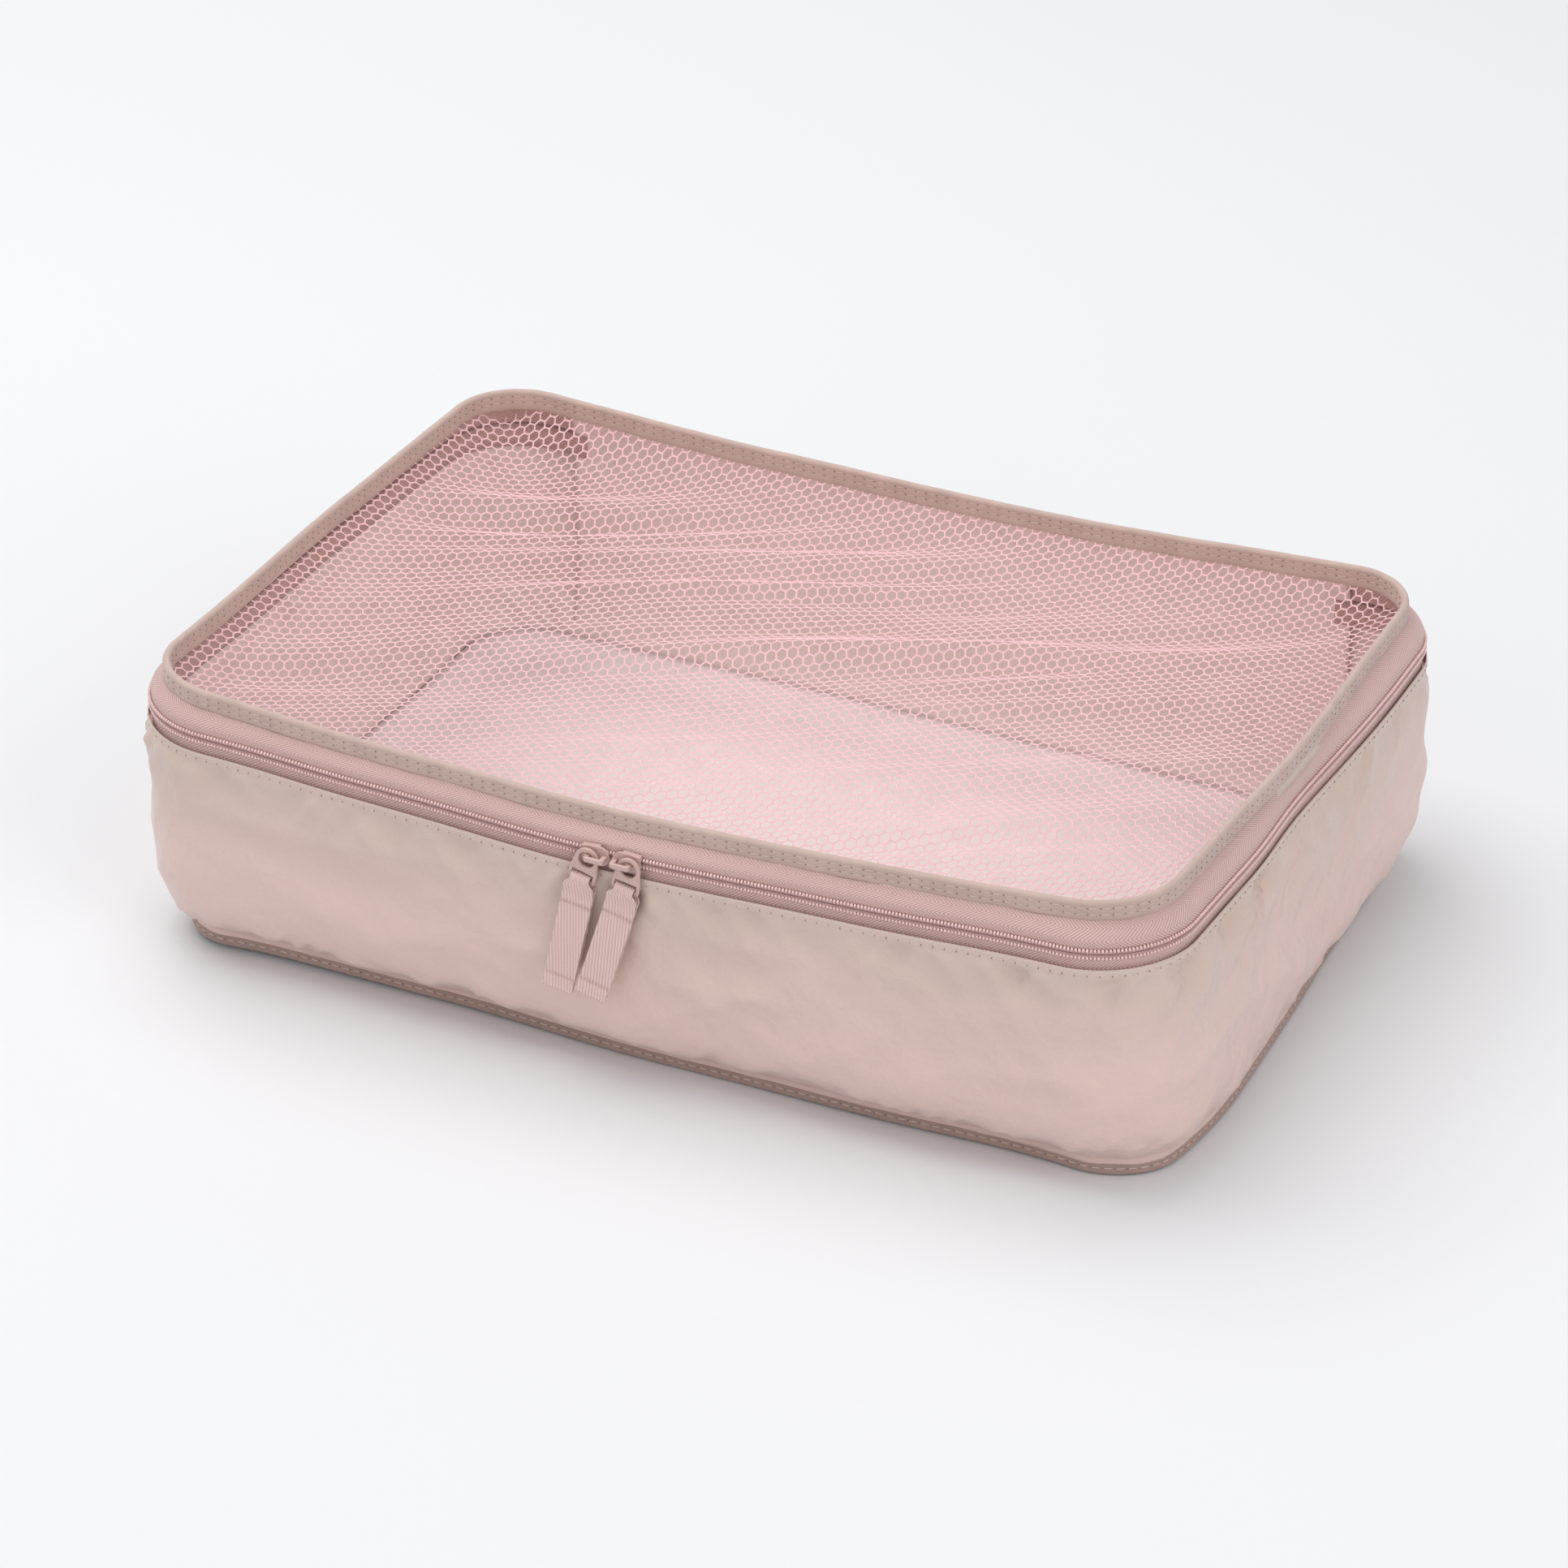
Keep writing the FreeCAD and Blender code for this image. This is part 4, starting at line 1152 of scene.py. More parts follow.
@dataclass
class RimBinding:
    """A tape folded over a raw edge: the top rim, or the bottom one upside down."""

    outer_leg: float = 7.0
    inner_leg: float = 8.0
    gauge: float = 0.6
    span: float = 2.8
    rows: tuple[float, float] = (2.5, 4.9)
    dent: float = 0.22
    lean: float = 0.0
    spacing: float = 2.4

    def section(self) -> tuple[Array, Array]:
        """Return the closed section: inwards from the outer face, and down from the top."""
        fold = self.span / 2
        dents = [value for row in self.rows for value in (row - 0.8, row, row + 0.8)]
        outer = [self.outer_leg, self.outer_leg - 0.25, *sorted(dents, reverse=True), fold]
        inset = [0.3 * self.gauge, 0.0]
        inset += [self.dent if row in self.rows else 0.0 for row in sorted(dents, reverse=True)]
        inset += [0.0]
        turn = np.radians(np.linspace(20, 160, 7))
        inward = inset + list(fold - fold * np.cos(turn))
        down = outer + list(fold - fold * np.sin(turn))
        inner = [fold] + sorted(dents) + [self.inner_leg - 0.25, self.inner_leg]
        inward += [self.span - (self.dent if row in self.rows else 0.0) for row in inner[:-1]]
        inward += [self.span - 0.3 * self.gauge]
        down += inner
        turn = turn[::-1]
        small = fold - self.gauge
        inward += [self.span - self.gauge, self.span - self.gauge]
        down += [self.inner_leg, fold]
        inward += list(fold - small * np.cos(turn))
        down += list(fold - small * np.sin(turn))
        inward += [self.gauge, self.gauge]
        down += [fold, self.outer_leg]
        return np.array(inward), np.array(down)

    def pucker(self, along: Array, seed: int) -> Array:
        """Return the small waves that sewing leaves in the tape."""
        return 0.16 * patch_noise(along, along * 0, 5.5, 10, seed) \
            + 0.22 * patch_noise(along, along * 0, 17.0, 10, seed + 1)

    def build(self, name: str, edge_out: Array, edge_up: Array, along: Array, way: float,
              seed: int) -> bpy.types.Object:
        """Sweep the binding.

        Args:
            name: The piece's name.
            edge_out: The outer face, at each station.
            edge_up: The folded edge's height, at each station.
            along: The stations.
            way: 1 where the fold is up, -1 where it is down.
            seed: The random seed of its puckers.

        Returns:
            The binding, as a closed ring.
        """
        inward, down = self.section()
        share = np.clip(down / self.outer_leg, 0, 1)
        loose = self.pucker(along, seed)[:, None] * (0.35 + 0.65 * share[None, :])
        out = edge_out[:, None] - (inward + self.lean * share)[None, :] + loose
        up = edge_up[:, None] - way * down[None, :] + 0.4 * loose
        if way < 0:
            out, up = out[:, ::-1], up[:, ::-1]
            up = np.maximum(up, 0.0)
        return sweep(name, along, out, up, ring=True)

    def stitches(self, name: str, row: float, edge_out: Callable[[Lines], Array],
                 edge_up: Callable[[Lines], Array], way: float, finishes: Finishes,
                 seed: int, inside: bool) -> bpy.types.Object:
        """Sew one row all round.

        Args:
            name: The row's name.
            row: How far it is from the fold, in millimetres.
            edge_out: Gives the binding's outer face.
            edge_up: Gives the folded edge's height.
            way: 1 where the fold is up, -1 where it is down.
            finishes: The cube's finishes.
            seed: The random seed of the binding's puckers.
            inside: Whether the threads show on the inner face too.

        Returns:
            The row.
        """
        along = stations(1.5, True)
        lines = Lines(along)
        puckers = self.pucker(along, seed)
        height = edge_up(lines) - way * row + 0.3 * puckers
        face = edge_out(lines) + 0.6 * puckers - self.dent - self.lean * row / self.outer_leg
        rows = [Stitch().row(name, line_points(along, face, height), finishes, True, seed)]
        if inside:
            face = face - self.span + 2 * self.dent
            path = line_points(along, face, height)[::-1]
            rows.append(Stitch().row(name + "_inner", path, finishes, True, seed + 1))
            return join(name, *rows)
        return rows[0]


@dataclass
class SideWall:
    """One strip of nylon round the front and sides, gathered a little at both edges."""

    hem: float = 4.0
    gauge: float = 0.35
    spacing: float = 2.0
    rows: int = 62
    tuck: float = 3.4
    hem_stand: float = 0.95
    cut_height: float = 90.0
    pucker_depth: float = 5.0
    gather_depth: float = 3.4
    drape_depth: float = 2.0

    def shares(self) -> Array:
        """Return the rows' places from the foot to the hem, closer near both edges."""
        t = np.linspace(0, 1, self.rows)
        return t - 0.035 * np.sin(4 * math.pi * t) / 2

    def creases(self, along: Array, rise: Array, height: float) -> Array:
        """Return how far the cloth stands out of its smooth bulge.

        Args:
            along: The stations, as a column.
            rise: Heights above the foot, as a row.
            height: The wall's height.

        Returns:
            Distances outwards.
        """
        below_hem = height - rise
        u = along + 0 * rise
        slanted = u + 0.55 * below_hem
        pucker = crease(slanted, below_hem, 11.0, 60, 31) \
            + crease(u - 0.6 * below_hem, below_hem, 16.0, 40, 32)
        calm = 0.6 + 0.4 * patch_noise(u, rise * 0, 70.0, 100, 33)
        near_hem = (0.5 * np.exp(-below_hem / 30.0) + np.exp(-(below_hem - 6) ** 2 / 128.0)) \
            * np.clip((below_hem - 2.2) / 2.0, 0, 1)
        near_foot = np.exp(-np.clip(rise - 4, 0, None) ** 2 / (2 * 6.5 ** 2))
        gather = crease(u - 0.8 * rise, rise, 8.0, 50, 34) \
            + 0.8 * crease(u + 0.6 * rise, rise, 15.0, 50, 35)
        drape = crease(u + 2.2 * rise, rise - 0.1 * u, 80.0, 30.0, 36) \
            + 0.7 * crease(u - 1.6 * rise, rise, 52.0, 26.0, 37) \
            + 0.35 * patch_noise(u + 0.9 * rise, rise, 17.0, 14.0, 38)
        middle = np.sin(math.pi * np.clip(rise / height, 0, 1)) ** 0.8
        return self.pucker_depth * pucker * near_hem * calm \
            + self.gather_depth * gather * near_foot + self.drape_depth * drape * middle

    def surface(self, along: Array) -> tuple[Array, Array]:
        """Return the outer face as out and up, a row for each station."""
        lines = Lines(along)
        share = self.shares()
        low_up = lines.foot_up + self.tuck
        low_out = lines.foot_out - 1.0
        high_up = SIZES.hem_up + SEAMS.zip_rise.at(along)
        high_out = lines.zip_out + self.hem_stand
        up = blend(low_up, high_up, share)
        out = blend(low_out, high_out, share)
        height = float(np.mean(high_up - low_up))
        rise = share[None, :] * height
        exposed = np.clip((rise - (SIZES.foot_leg - self.tuck)) / height, 0, 1)
        flat_top = np.clip((height - rise - self.hem * 0.6) / (height - self.hem * 0.6), 0, 1)
        swell = SEAMS.wall_swell.at(along)[:, None] * belly(exposed)
        out = out + swell + self.creases(along[:, None], rise, height) * np.minimum(
            1, np.minimum(exposed * 14, flat_top * 16))
        return out, up

    def build(self, finishes: Finishes) -> bpy.types.Object:
        """Make the wall, its thickness inwards."""
        along = stations(self.spacing, False)
        out, up = self.surface(along)
        piece = sweep("side_wall_cloth", along, out, up, loop=False)
        thicken(piece, self.gauge, finishes.nylon, finishes.inside)
        dress(piece, finishes.nylon, "tub", "body_nylon", "side_wall")
        return piece


@dataclass
class BackPanel:
    """The nylon that runs up the back as one piece, and is the lid's hinge."""

    gauge: float = 0.35
    spacing: float = 2.4
    overlap: float = 6.0
    tuck: float = 3.4
    cut_height: float = 108.0
    fold_reach: float = 3.5
    drape_depth: float = 0.7
    gather_depth: float = 0.6

    def build(self, finishes: Finishes) -> bpy.types.Object:
        """Make the panel, from the foot up to the zip line and turned in from there to the rim.

        Args:
            finishes: The cube's finishes.

        Returns:
            The panel.
        """
        reach = SIZES.back_seam + self.overlap
        along = ROUND / 2 + np.linspace(-reach, reach, int(2 * reach / self.spacing))
        lines = Lines(along)
        t = np.linspace(0, 1, 56)
        high_up = lines.zip_up
        low_up = lines.foot_up + self.tuck
        out = blend(lines.foot_out - 1.0, lines.zip_out - 0.4, t)
        up = blend(low_up, high_up, t)
        height = float(np.mean(high_up - low_up))
        rise = t[None, :] * height
        exposed = np.clip((rise - 3.6) / height, 0, 1)
        swell = SEAMS.wall_swell.at(along)[:, None] * belly(exposed)
        u = along[:, None]
        drape = patch_noise(u + 1.3 * rise, rise, 46.0, 30.0, 41) \
            + 0.5 * patch_noise(u - 0.8 * rise, rise, 22.0, 24.0, 42)
        gather = patch_noise(u - 0.6 * rise, rise, 8.0, 50, 43)
        out = out + swell + self.drape_depth * drape * np.sin(math.pi * exposed) \
            + self.gather_depth * gather * np.exp(-(rise - 4) ** 2 / 50) * np.minimum(1, exposed * 14)
        climb = np.linspace(0.08, 1, 14)
        rim_foot = lines.rim_top - SIZES.rim_leg + 2.0
        top_up = high_up[:, None] + (rim_foot - high_up)[:, None] * climb[None, :]
        ease = climb ** 1.6
        top_out = (lines.zip_out - 0.4)[:, None] * (1 - ease) \
            + (lines.rim_out - 1.2)[:, None] * ease
        out = np.concatenate([out, top_out], axis=1)
        up = np.concatenate([up, top_up], axis=1)
        piece = sweep("back_panel_cloth", along, out, up, loop=False)
        thicken(piece, self.gauge, finishes.nylon, finishes.inside)
        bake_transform(piece)
        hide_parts("back_wall", "lid_back_gusset")
        LOG.info("%s: %d faces", piece.name, len(piece.data.polygons))
        return piece


@dataclass
class BottomPanel:
    """The nylon bottom, flat on the ground and turned up into the bottom binding."""

    gauge: float = 0.35
    slope: float = 14.0
    least_radius: float = 4.0
    middle_share: float = 0.08
    softness: float = 0.45

    def build(self, finishes: Finishes) -> bpy.types.Object:
        """Make the panel: rings from the binding in to the middle.

        Args:
            finishes: The cube's finishes.

        Returns:
            The panel.
        """
        along = stations(3.0, True)
        lines = Lines(along)
        inner = lines.foot_out - 1.9
        rings: list[tuple[Array, Array]] = []
        for share, up in ((0.0, 4.0), (0.0, 7.2), (0.25, 6.4), (0.5, 3.9), (0.75, 1.4), (1.0, 0.5)):
            crinkle = 0.35 * patch_noise(along, 0 * along + 9 * share, 9.0, 4.0, 51) \
                * (share > 0.1)
            ring_out = np.maximum(inner - 0.5 - self.slope * share,
                                  self.least_radius - OUTLINE.radius)
            rings.append((ring_out, up + lines.foot_up * (1 - share) + crinkle))
        x, y = OUTLINE.place(along[:, None], np.stack([r[0] for r in rings], axis=1))
        z = np.maximum(np.stack([r[1] for r in rings], axis=1), self.gauge + 0.05)
        turned_up = np.stack([x, y, z], axis=-1)
        edge = turned_up[:, -1, :]
        steps = np.linspace(0.97, self.middle_share, 24)
        inward = edge[:, None, :] * np.array([1, 1, 0]) * steps[None, :, None]
        soft = patch_noise(inward[..., 0] + 300, inward[..., 1], 38.0, 30.0, 52)
        inward[..., 2] = self.gauge + 0.1 + self.softness * np.clip(soft + 0.4, 0, 1) \
            * np.clip((1 - steps) * 6, 0, 1) * np.clip((steps - self.middle_share) * 5, 0, 1)
        grid = np.concatenate([turned_up, inward], axis=1)
        rows, columns = grid.shape[:2]
        faces = grid_faces(rows, columns, True, False)
        flat = grid.reshape(-1, 3)
        middle = len(flat)
        flat = np.concatenate([flat, [[0, 0, self.gauge + 0.1]]])
        fan = [[i * columns + columns - 1, ((i + 1) % rows) * columns + columns - 1, middle]
               for i in range(rows)]
        faces = faces.tolist() + fan
        uvs = flat[np.array([v for f in faces for v in f]), :2] * MM
        piece = new_piece("bottom_panel_cloth", flat, faces, uvs)
        piece.data.materials.append(finishes.lining)
        piece.data.materials.append(finishes.nylon)
        solid = piece.modifiers.new("gauge", "SOLIDIFY")
        solid.thickness = self.gauge * MM
        solid.offset = -1.0
        solid.material_offset = 1
        solid.material_offset_rim = 1
        apply_modifiers(piece)
        dress(piece, finishes.lining, "tub", "body_nylon", "bottom_panel")
        return piece


@dataclass
class Zip:
    """The zip: two herringbone tapes, each with its row of coil."""

    gauge: float = 0.6
    pitch: float = 1.27
    bead_rise: float = 1.45
    bead_height: float = 1.2
    bar_height: float = 0.42
    spacing: float = 1.8

    def tape_section(self, way: float, lines: Lines) -> tuple[Array, Array]:
        """Return a tape's closed section at every station.

        Args:
            way: 1 for the lid's tape, -1 for the tub's.
            lines: The seams at those stations.

        Returns:
            How far out and how high its points are, a row for each station.
        """
        half = SIZES.parting / 2
        if way < 0:
            drop = np.array([SIZES.zip_up - SIZES.tape_foot, 6.0, 4.0, 2.6, half, half, 4.0,
                             SIZES.zip_up - SIZES.tape_foot])
            inset = np.array([0.0, 0.0, 0.0, 0.0, 0.0, self.gauge, self.gauge, self.gauge])
            out = lines.zip_out[:, None] - inset[None, :]
            up = lines.zip_up[:, None] - drop[None, :]
            return out, up
        rise = np.array([half, 2.4, 3.6])
        outer_out = lines.zip_out[:, None] + 0 * rise[None, :]
        outer_up = lines.zip_up[:, None] + rise[None, :]
        share = np.linspace(0.12, 1.0, 7)
        foot_up = lines.rim_top - SIZES.rim_leg + 0.6
        foot_out = lines.rim_out - 1.25
        slope_up = blend(lines.zip_up + 3.6, foot_up, share)
        bulge = 0.75 * np.sin(math.pi * share)[None, :]
        slope_out = blend(lines.zip_out, foot_out, share ** 1.35) + bulge
        end_up = (lines.rim_top - 2.0)[:, None]
        end_out = foot_out[:, None]
        face_out = np.concatenate([outer_out, slope_out, end_out], axis=1)
        face_up = np.concatenate([outer_up, slope_up, end_up], axis=1)
        back_out = face_out[:, ::-1] - self.gauge * 0.8
        back_up = face_up[:, ::-1] - self.gauge * 0.5
        back_up[:, -3:] = face_up[:, ::-1][:, -3:]
        return (np.concatenate([face_out, back_out], axis=1),
                np.concatenate([face_up, back_up], axis=1))

    def bead(self, name: str) -> bpy.types.Object:
        """Return one turn of coil with its sewing thread, as a small rounded bead."""
        rings, sides = 5, 8
        t = np.linspace(-0.88, 0.88, rings)
        girth = np.sqrt(1 - t ** 2)
        angle = np.arange(sides) * 2 * math.pi / sides
        x = 0.40 * self.pitch * girth[:, None] * np.sin(angle)[None, :]
        y = -self.bead_rise / 2 * (1 + 0.9 * girth[:, None] * np.cos(angle)[None, :])
        z = np.repeat(t * self.bead_height / 2 / 0.88, sides).reshape(rings, sides)
        points = np.stack([x, y + 0.15, z], axis=-1).reshape(-1, 3)
        faces = grid_faces(rings, sides, False, True).tolist()
        faces += [list(range(sides)), list(range((rings - 1) * sides, rings * sides))[::-1]]
        piece = new_piece(name, points, faces)
        fix_normals(piece)
        return piece

    def coil(self, name: str, way: float, finishes: Finishes) -> bpy.types.Object:
        """Lay one row of coil: its outer turns as beads, its inner heads as a bar painted dark for
        the shade in the groove.

        Args:
            name: The coil's name.
            way: 1 for the lid's coil, -1 for the tub's.
            finishes: The cube's finishes.

        Returns:
            The coil as one mesh.
        """
        along = stations(self.pitch, False)
        lines = Lines(along)
        middle = SIZES.parting / 2 + self.bar_height + self.bead_height / 2 - 0.1
        path = line_points(along, lines.zip_out, lines.zip_up + way * middle)
        unit = self.bead(name + "_unit")
        beads = Row.lay(name, path, unit, self.pitch, finishes.bead, unevenness=0.03,
                        seed=61 + int(way))
        bpy.data.objects.remove(unit)
        low = way * (SIZES.parting / 2 - 0.38)
        high = way * (SIZES.parting / 2 + self.bar_height + 0.25)
        rise = np.array([low, low, (low + high) / 2, high, high, high])
        reach = np.array([0.0, 0.55, 0.85, 0.78, 0.3, 0.0])
        if way > 0:
            rise, reach = rise[::-1], reach[::-1]
        rise, reach = rise[::-1], reach[::-1]
        along = stations(self.spacing, False)
        lines = Lines(along)
        bar = sweep(name + "_bar", along, lines.zip_out[:, None] + reach[None, :],
                    lines.zip_up[:, None] + rise[None, :])
        fix_normals(bar)
        # The bar's dark finish is painted shade.
        bar.data.materials.append(finishes.groove_painted_shade)
        return join(name, beads, bar)

    def build(self, finishes: Finishes) -> None:
        """Make both tapes and both coils."""
        along = stations(self.spacing, False)
        for way, body, label in ((-1, Body.TUB, "lower"), (1, Body.LID, "upper")):
            out, up = self.tape_section(way, Lines(along))
            tape = sweep(f"{label}_tape_cloth", along, out, up)
            fix_normals(tape)
            dress(tape, finishes.tape, body.value, "zip_tape", f"{label}_zip_tape")
            coil = self.coil(f"{label}_coil_turns", way, finishes)
            dress(coil, finishes.bead, body.value, "zip_coil", f"{label}_zip_coil")


@dataclass
class Facing:
    """The narrow nylon strip that shows between the rim's tape and the zip tape."""

    reach: float = 1.9
    gauge: float = 0.3

    def build(self, finishes: Finishes) -> bpy.types.Object:
        """Make the strip."""
        along = stations(2.4, False)
        lines = Lines(along)
        leg = lines.rim_top - SIZES.rim_leg
        face_up = np.stack([leg - self.reach, leg - self.reach + 0.12, leg - 0.6, leg + 2.5], axis=1)
        face_out = np.stack([lines.rim_out + 1.0, lines.rim_out + 1.15, lines.rim_out - 0.05,
                             lines.rim_out - 0.75], axis=1)
        ripple = 0.12 * patch_noise(along, along * 0, 9.0, 10, 71)[:, None]
        face_out = face_out + ripple * np.array([1.0, 1.0, 0.4, 0.0])
        back_out = face_out[:, ::-1] - self.gauge
        back_up = face_up[:, ::-1] - self.gauge * 0.4
        piece = sweep("lid_facing_cloth", along, np.concatenate([face_out, back_out], axis=1),
                      np.concatenate([face_up, back_up], axis=1))
        fix_normals(piece)
        return dress(piece, finishes.nylon, "lid", "body_nylon", "lid_gusset")


# ------------------------------------------------------------------ the net


@dataclass
class Net:
    """The lid's net: hexagonal cells of twisted yarn, slack and gently wrinkled."""

    pitch_along: float = 6.4
    pitch_across: float = 4.75
    strand: float = 0.62
    lift: float = 0.34
    fold_turn: float = 28.0
    fold_depth: float = 2.4
    ridge_depth: float = 1.5

    def unit(self) -> bpy.types.Object:
        """Return three strands of one cell, as closed three-sided bars."""
        wide, high = self.pitch_along * 2 / 3, self.pitch_across
        corners = np.array([(-wide / 4, high / 2), (wide / 4, high / 2), (wide / 2, 0),
                            (wide / 4, -high / 2)])
        half = self.strand / 2
        points: list[list[float]] = []
        faces: list[list[int]] = []
        for start, end in zip(corners[:-1], corners[1:]):
            way = (end - start) / np.linalg.norm(end - start)
            side = np.array([-way[1], way[0]])
            for end_point in (start - way * half * 0.4, end + way * half * 0.4):
                points += [[*(end_point + side * half), 0.0], [*(end_point - side * half), 0.0],
                           [*end_point, self.lift]]
            base = len(points) - 6
            for a, b in ((0, 1), (1, 2), (2, 0)):
                faces.append([base + a, base + b, base + 3 + b, base + 3 + a])
        return new_piece("net_unit", np.array(points), faces)

    def shape(self, x: Array, y: Array) -> Array:
        """Return the net's height over the drawn plane at points in plan.

        Args:
            x: The points' x, in millimetres.
            y: Their y.

        Returns:
            Their heights.
        """
        inside = OUTLINE.half_length - SIZES.rim_inset - 3.0
        inside_y = OUTLINE.half_width - SIZES.rim_inset - 3.0
        edge = np.minimum(inside - np.abs(x), inside_y - np.abs(y))
        depth = 1 - np.exp(-np.clip(edge, 0, None) / 15.0)
        left = np.clip((-x - 60) / 130, 0, 1)
        back = np.clip((y - 30) / 100, 0, 1)
        sag = 4.0 + 5.0 * left + 4.0 * back
        crown = 2.2 * np.exp(-((x - 70) / 120) ** 2 - ((y + 20) / 70) ** 2)
        turn = math.radians(self.fold_turn)
        p = x * math.cos(turn) + y * math.sin(turn)
        q = -x * math.sin(turn) + y * math.cos(turn)
        folds = patch_noise(p + 900, q, 120.0, 17.0, 81) \
            + 0.55 * patch_noise(p + 400, q + 7, 70.0, 9.0, 82)
        ridge = 2.6 * np.exp(-((q - 12 + 0.0006 * p ** 2) / 7.0) ** 2) \
            * np.exp(-((p - 20) / 110) ** 2)
        ridge += 2.0 * np.exp(-((q + 34) / 6.0) ** 2) * np.exp(-((p - 60) / 90) ** 2)
        ridge += 2.2 * np.exp(-((q - 62) / 6.0) ** 2) * np.exp(-((p + 30) / 80) ** 2)
        quiet = np.clip(edge / 28.0, 0, 1)
        return -sag * depth + (crown + self.fold_depth * folds
                               + self.ridge_depth * ridge) * quiet

    def build(self, finishes: Finishes) -> bpy.types.Object:
        """Lay the cells, cut them to the rim, and hang them in it.

        Args:
            finishes: The cube's finishes.

        Returns:
            The net.
        """
        length = 2 * OUTLINE.half_length
        width = 2 * OUTLINE.half_width
        columns = int(length / self.pitch_along)
        rows = int(width / self.pitch_across)
        unit = self.unit()
        carrier = new_piece("lid_net", np.zeros((1, 3)), [])
        modifier = carrier.modifiers.new("cells", "NODES")
        modifier.node_group = CellField.tree()
        set_inputs(modifier, {
            "Unit": unit, "Length": (columns - 1) * self.pitch_along * MM,
            "Width": (rows - 1) * self.pitch_across * MM,
            "Half Pitch Along": self.pitch_along / 2 * MM,
            "Half Pitch Across": self.pitch_across / 2 * MM,
            "Columns": columns, "Rows": rows, "Finish": finishes.net})
        apply_modifiers(carrier)
        bpy.data.objects.remove(unit)
        self.fit(carrier.data)
        shade_faces(carrier.data, False)
        dress(carrier, finishes.net, "lid", "lid_mesh", "mesh_panel")
        return carrier

    def fit(self, mesh: bpy.types.Mesh) -> None:
        """Cut the flat field of cells to the rim and give it its hung shape."""
        work = bmesh.new()
        work.from_mesh(mesh)
        half_x = OUTLINE.half_length - SIZES.rim_inset - 0.6
        half_y = OUTLINE.half_width - SIZES.rim_inset - 0.6
        radius = OUTLINE.radius - SIZES.rim_inset - 0.6
        doomed = []
        for vert in work.verts:
            x, y = abs(vert.co.x) / MM, abs(vert.co.y) / MM
            dx, dy = x - (half_x - radius), y - (half_y - radius)
            beyond = max(x - half_x, y - half_y)
            if dx > 0 and dy > 0:
                beyond = math.hypot(dx, dy) - radius
            if beyond > 0:
                doomed.append(vert)
        bmesh.ops.delete(work, geom=doomed, context="VERTS")
        work.to_mesh(mesh)
        work.free()
        count = len(mesh.vertices)
        points = np.empty(count * 3, np.float32)
        mesh.vertices.foreach_get("co", points)
        points = points.reshape(-1, 3).astype(float) / MM
        x, y, lift = points.T
        angle_along, share = self.round_place(x, y)
        lines = Lines(angle_along)
        drift = lines.rim_top - SIZES.rim_up
        shift = SEAMS.rim_out.at(angle_along)
        foot = SIZES.rim_up - SIZES.rim_leg - 0.6
        height = foot + drift * share ** 2 + self.shape(x, y) + lift
        scale = 1 + shift * share ** 3 / np.maximum(np.hypot(x, y), 1.0)
        new = np.stack([x * scale, y * scale, height], axis=-1) * MM
        mesh.vertices.foreach_set("co", new.astype(np.float32).ravel())
        mesh.update()

    @staticmethod
    def round_place(x: Array, y: Array) -> tuple[Array, Array]:
        """Find where points of the net lie within the rim.

        Args:
            x: The points' x, in millimetres.
            y: Their y.

        Returns:
            The nearest place along the rim, and how near to it each point is, up to 1.
        """
        table = np.linspace(0, ROUND, 721)
        edge_x, edge_y = OUTLINE.place(table, np.full(table.shape, -SIZES.rim_inset))
        edge_angle = np.unwrap(np.arctan2(edge_y, edge_x))
        angle = np.arctan2(y, x)
        angle = np.mod(angle - edge_angle[0], 2 * math.pi) + edge_angle[0]
        along = np.interp(angle, edge_angle, table)
        rim_x, rim_y = OUTLINE.place(along, np.full(along.shape, -SIZES.rim_inset))
        return along, np.clip(np.hypot(x, y) / np.hypot(rim_x, rim_y), 0, 1)


# ------------------------------------------------------------------ the pulls


def rounded_copy(node: str, name: str, width: float, segments: int = 3) -> bpy.types.Object:
    """Copy a hard node and round its edges, as a casting has them.

    Args:
        node: The node to copy.
        name: The copy's name.
        width: The rounding's width, in millimetres.
        segments: How many steps it has.

    Returns:
        The rounded copy.
    """
    mesh = frame["nodes"][node].data.copy()
    mesh.name = name
    mesh.materials.clear()
    piece = place_mesh(name, mesh)
    work = bmesh.new()
    work.from_mesh(mesh)
    bmesh.ops.remove_doubles(work, verts=work.verts, dist=1e-6)
    bmesh.ops.dissolve_limit(work, angle_limit=math.radians(1.0), verts=work.verts,
                             edges=work.edges)
    work.to_mesh(mesh)
    work.free()
    bevel = piece.modifiers.new("soft_edges", "BEVEL")
    bevel.width = width * MM
    bevel.segments = segments
    bevel.limit_method = "ANGLE"
    bevel.angle_limit = math.radians(35)
    bevel.use_clamp_overlap = True
    apply_modifiers(piece)
    shade_faces(piece.data, True)
    smooth = piece.modifiers.new("flat_faces", "WEIGHTED_NORMAL")
    smooth.keep_sharp = False
    apply_modifiers(piece)
    return piece


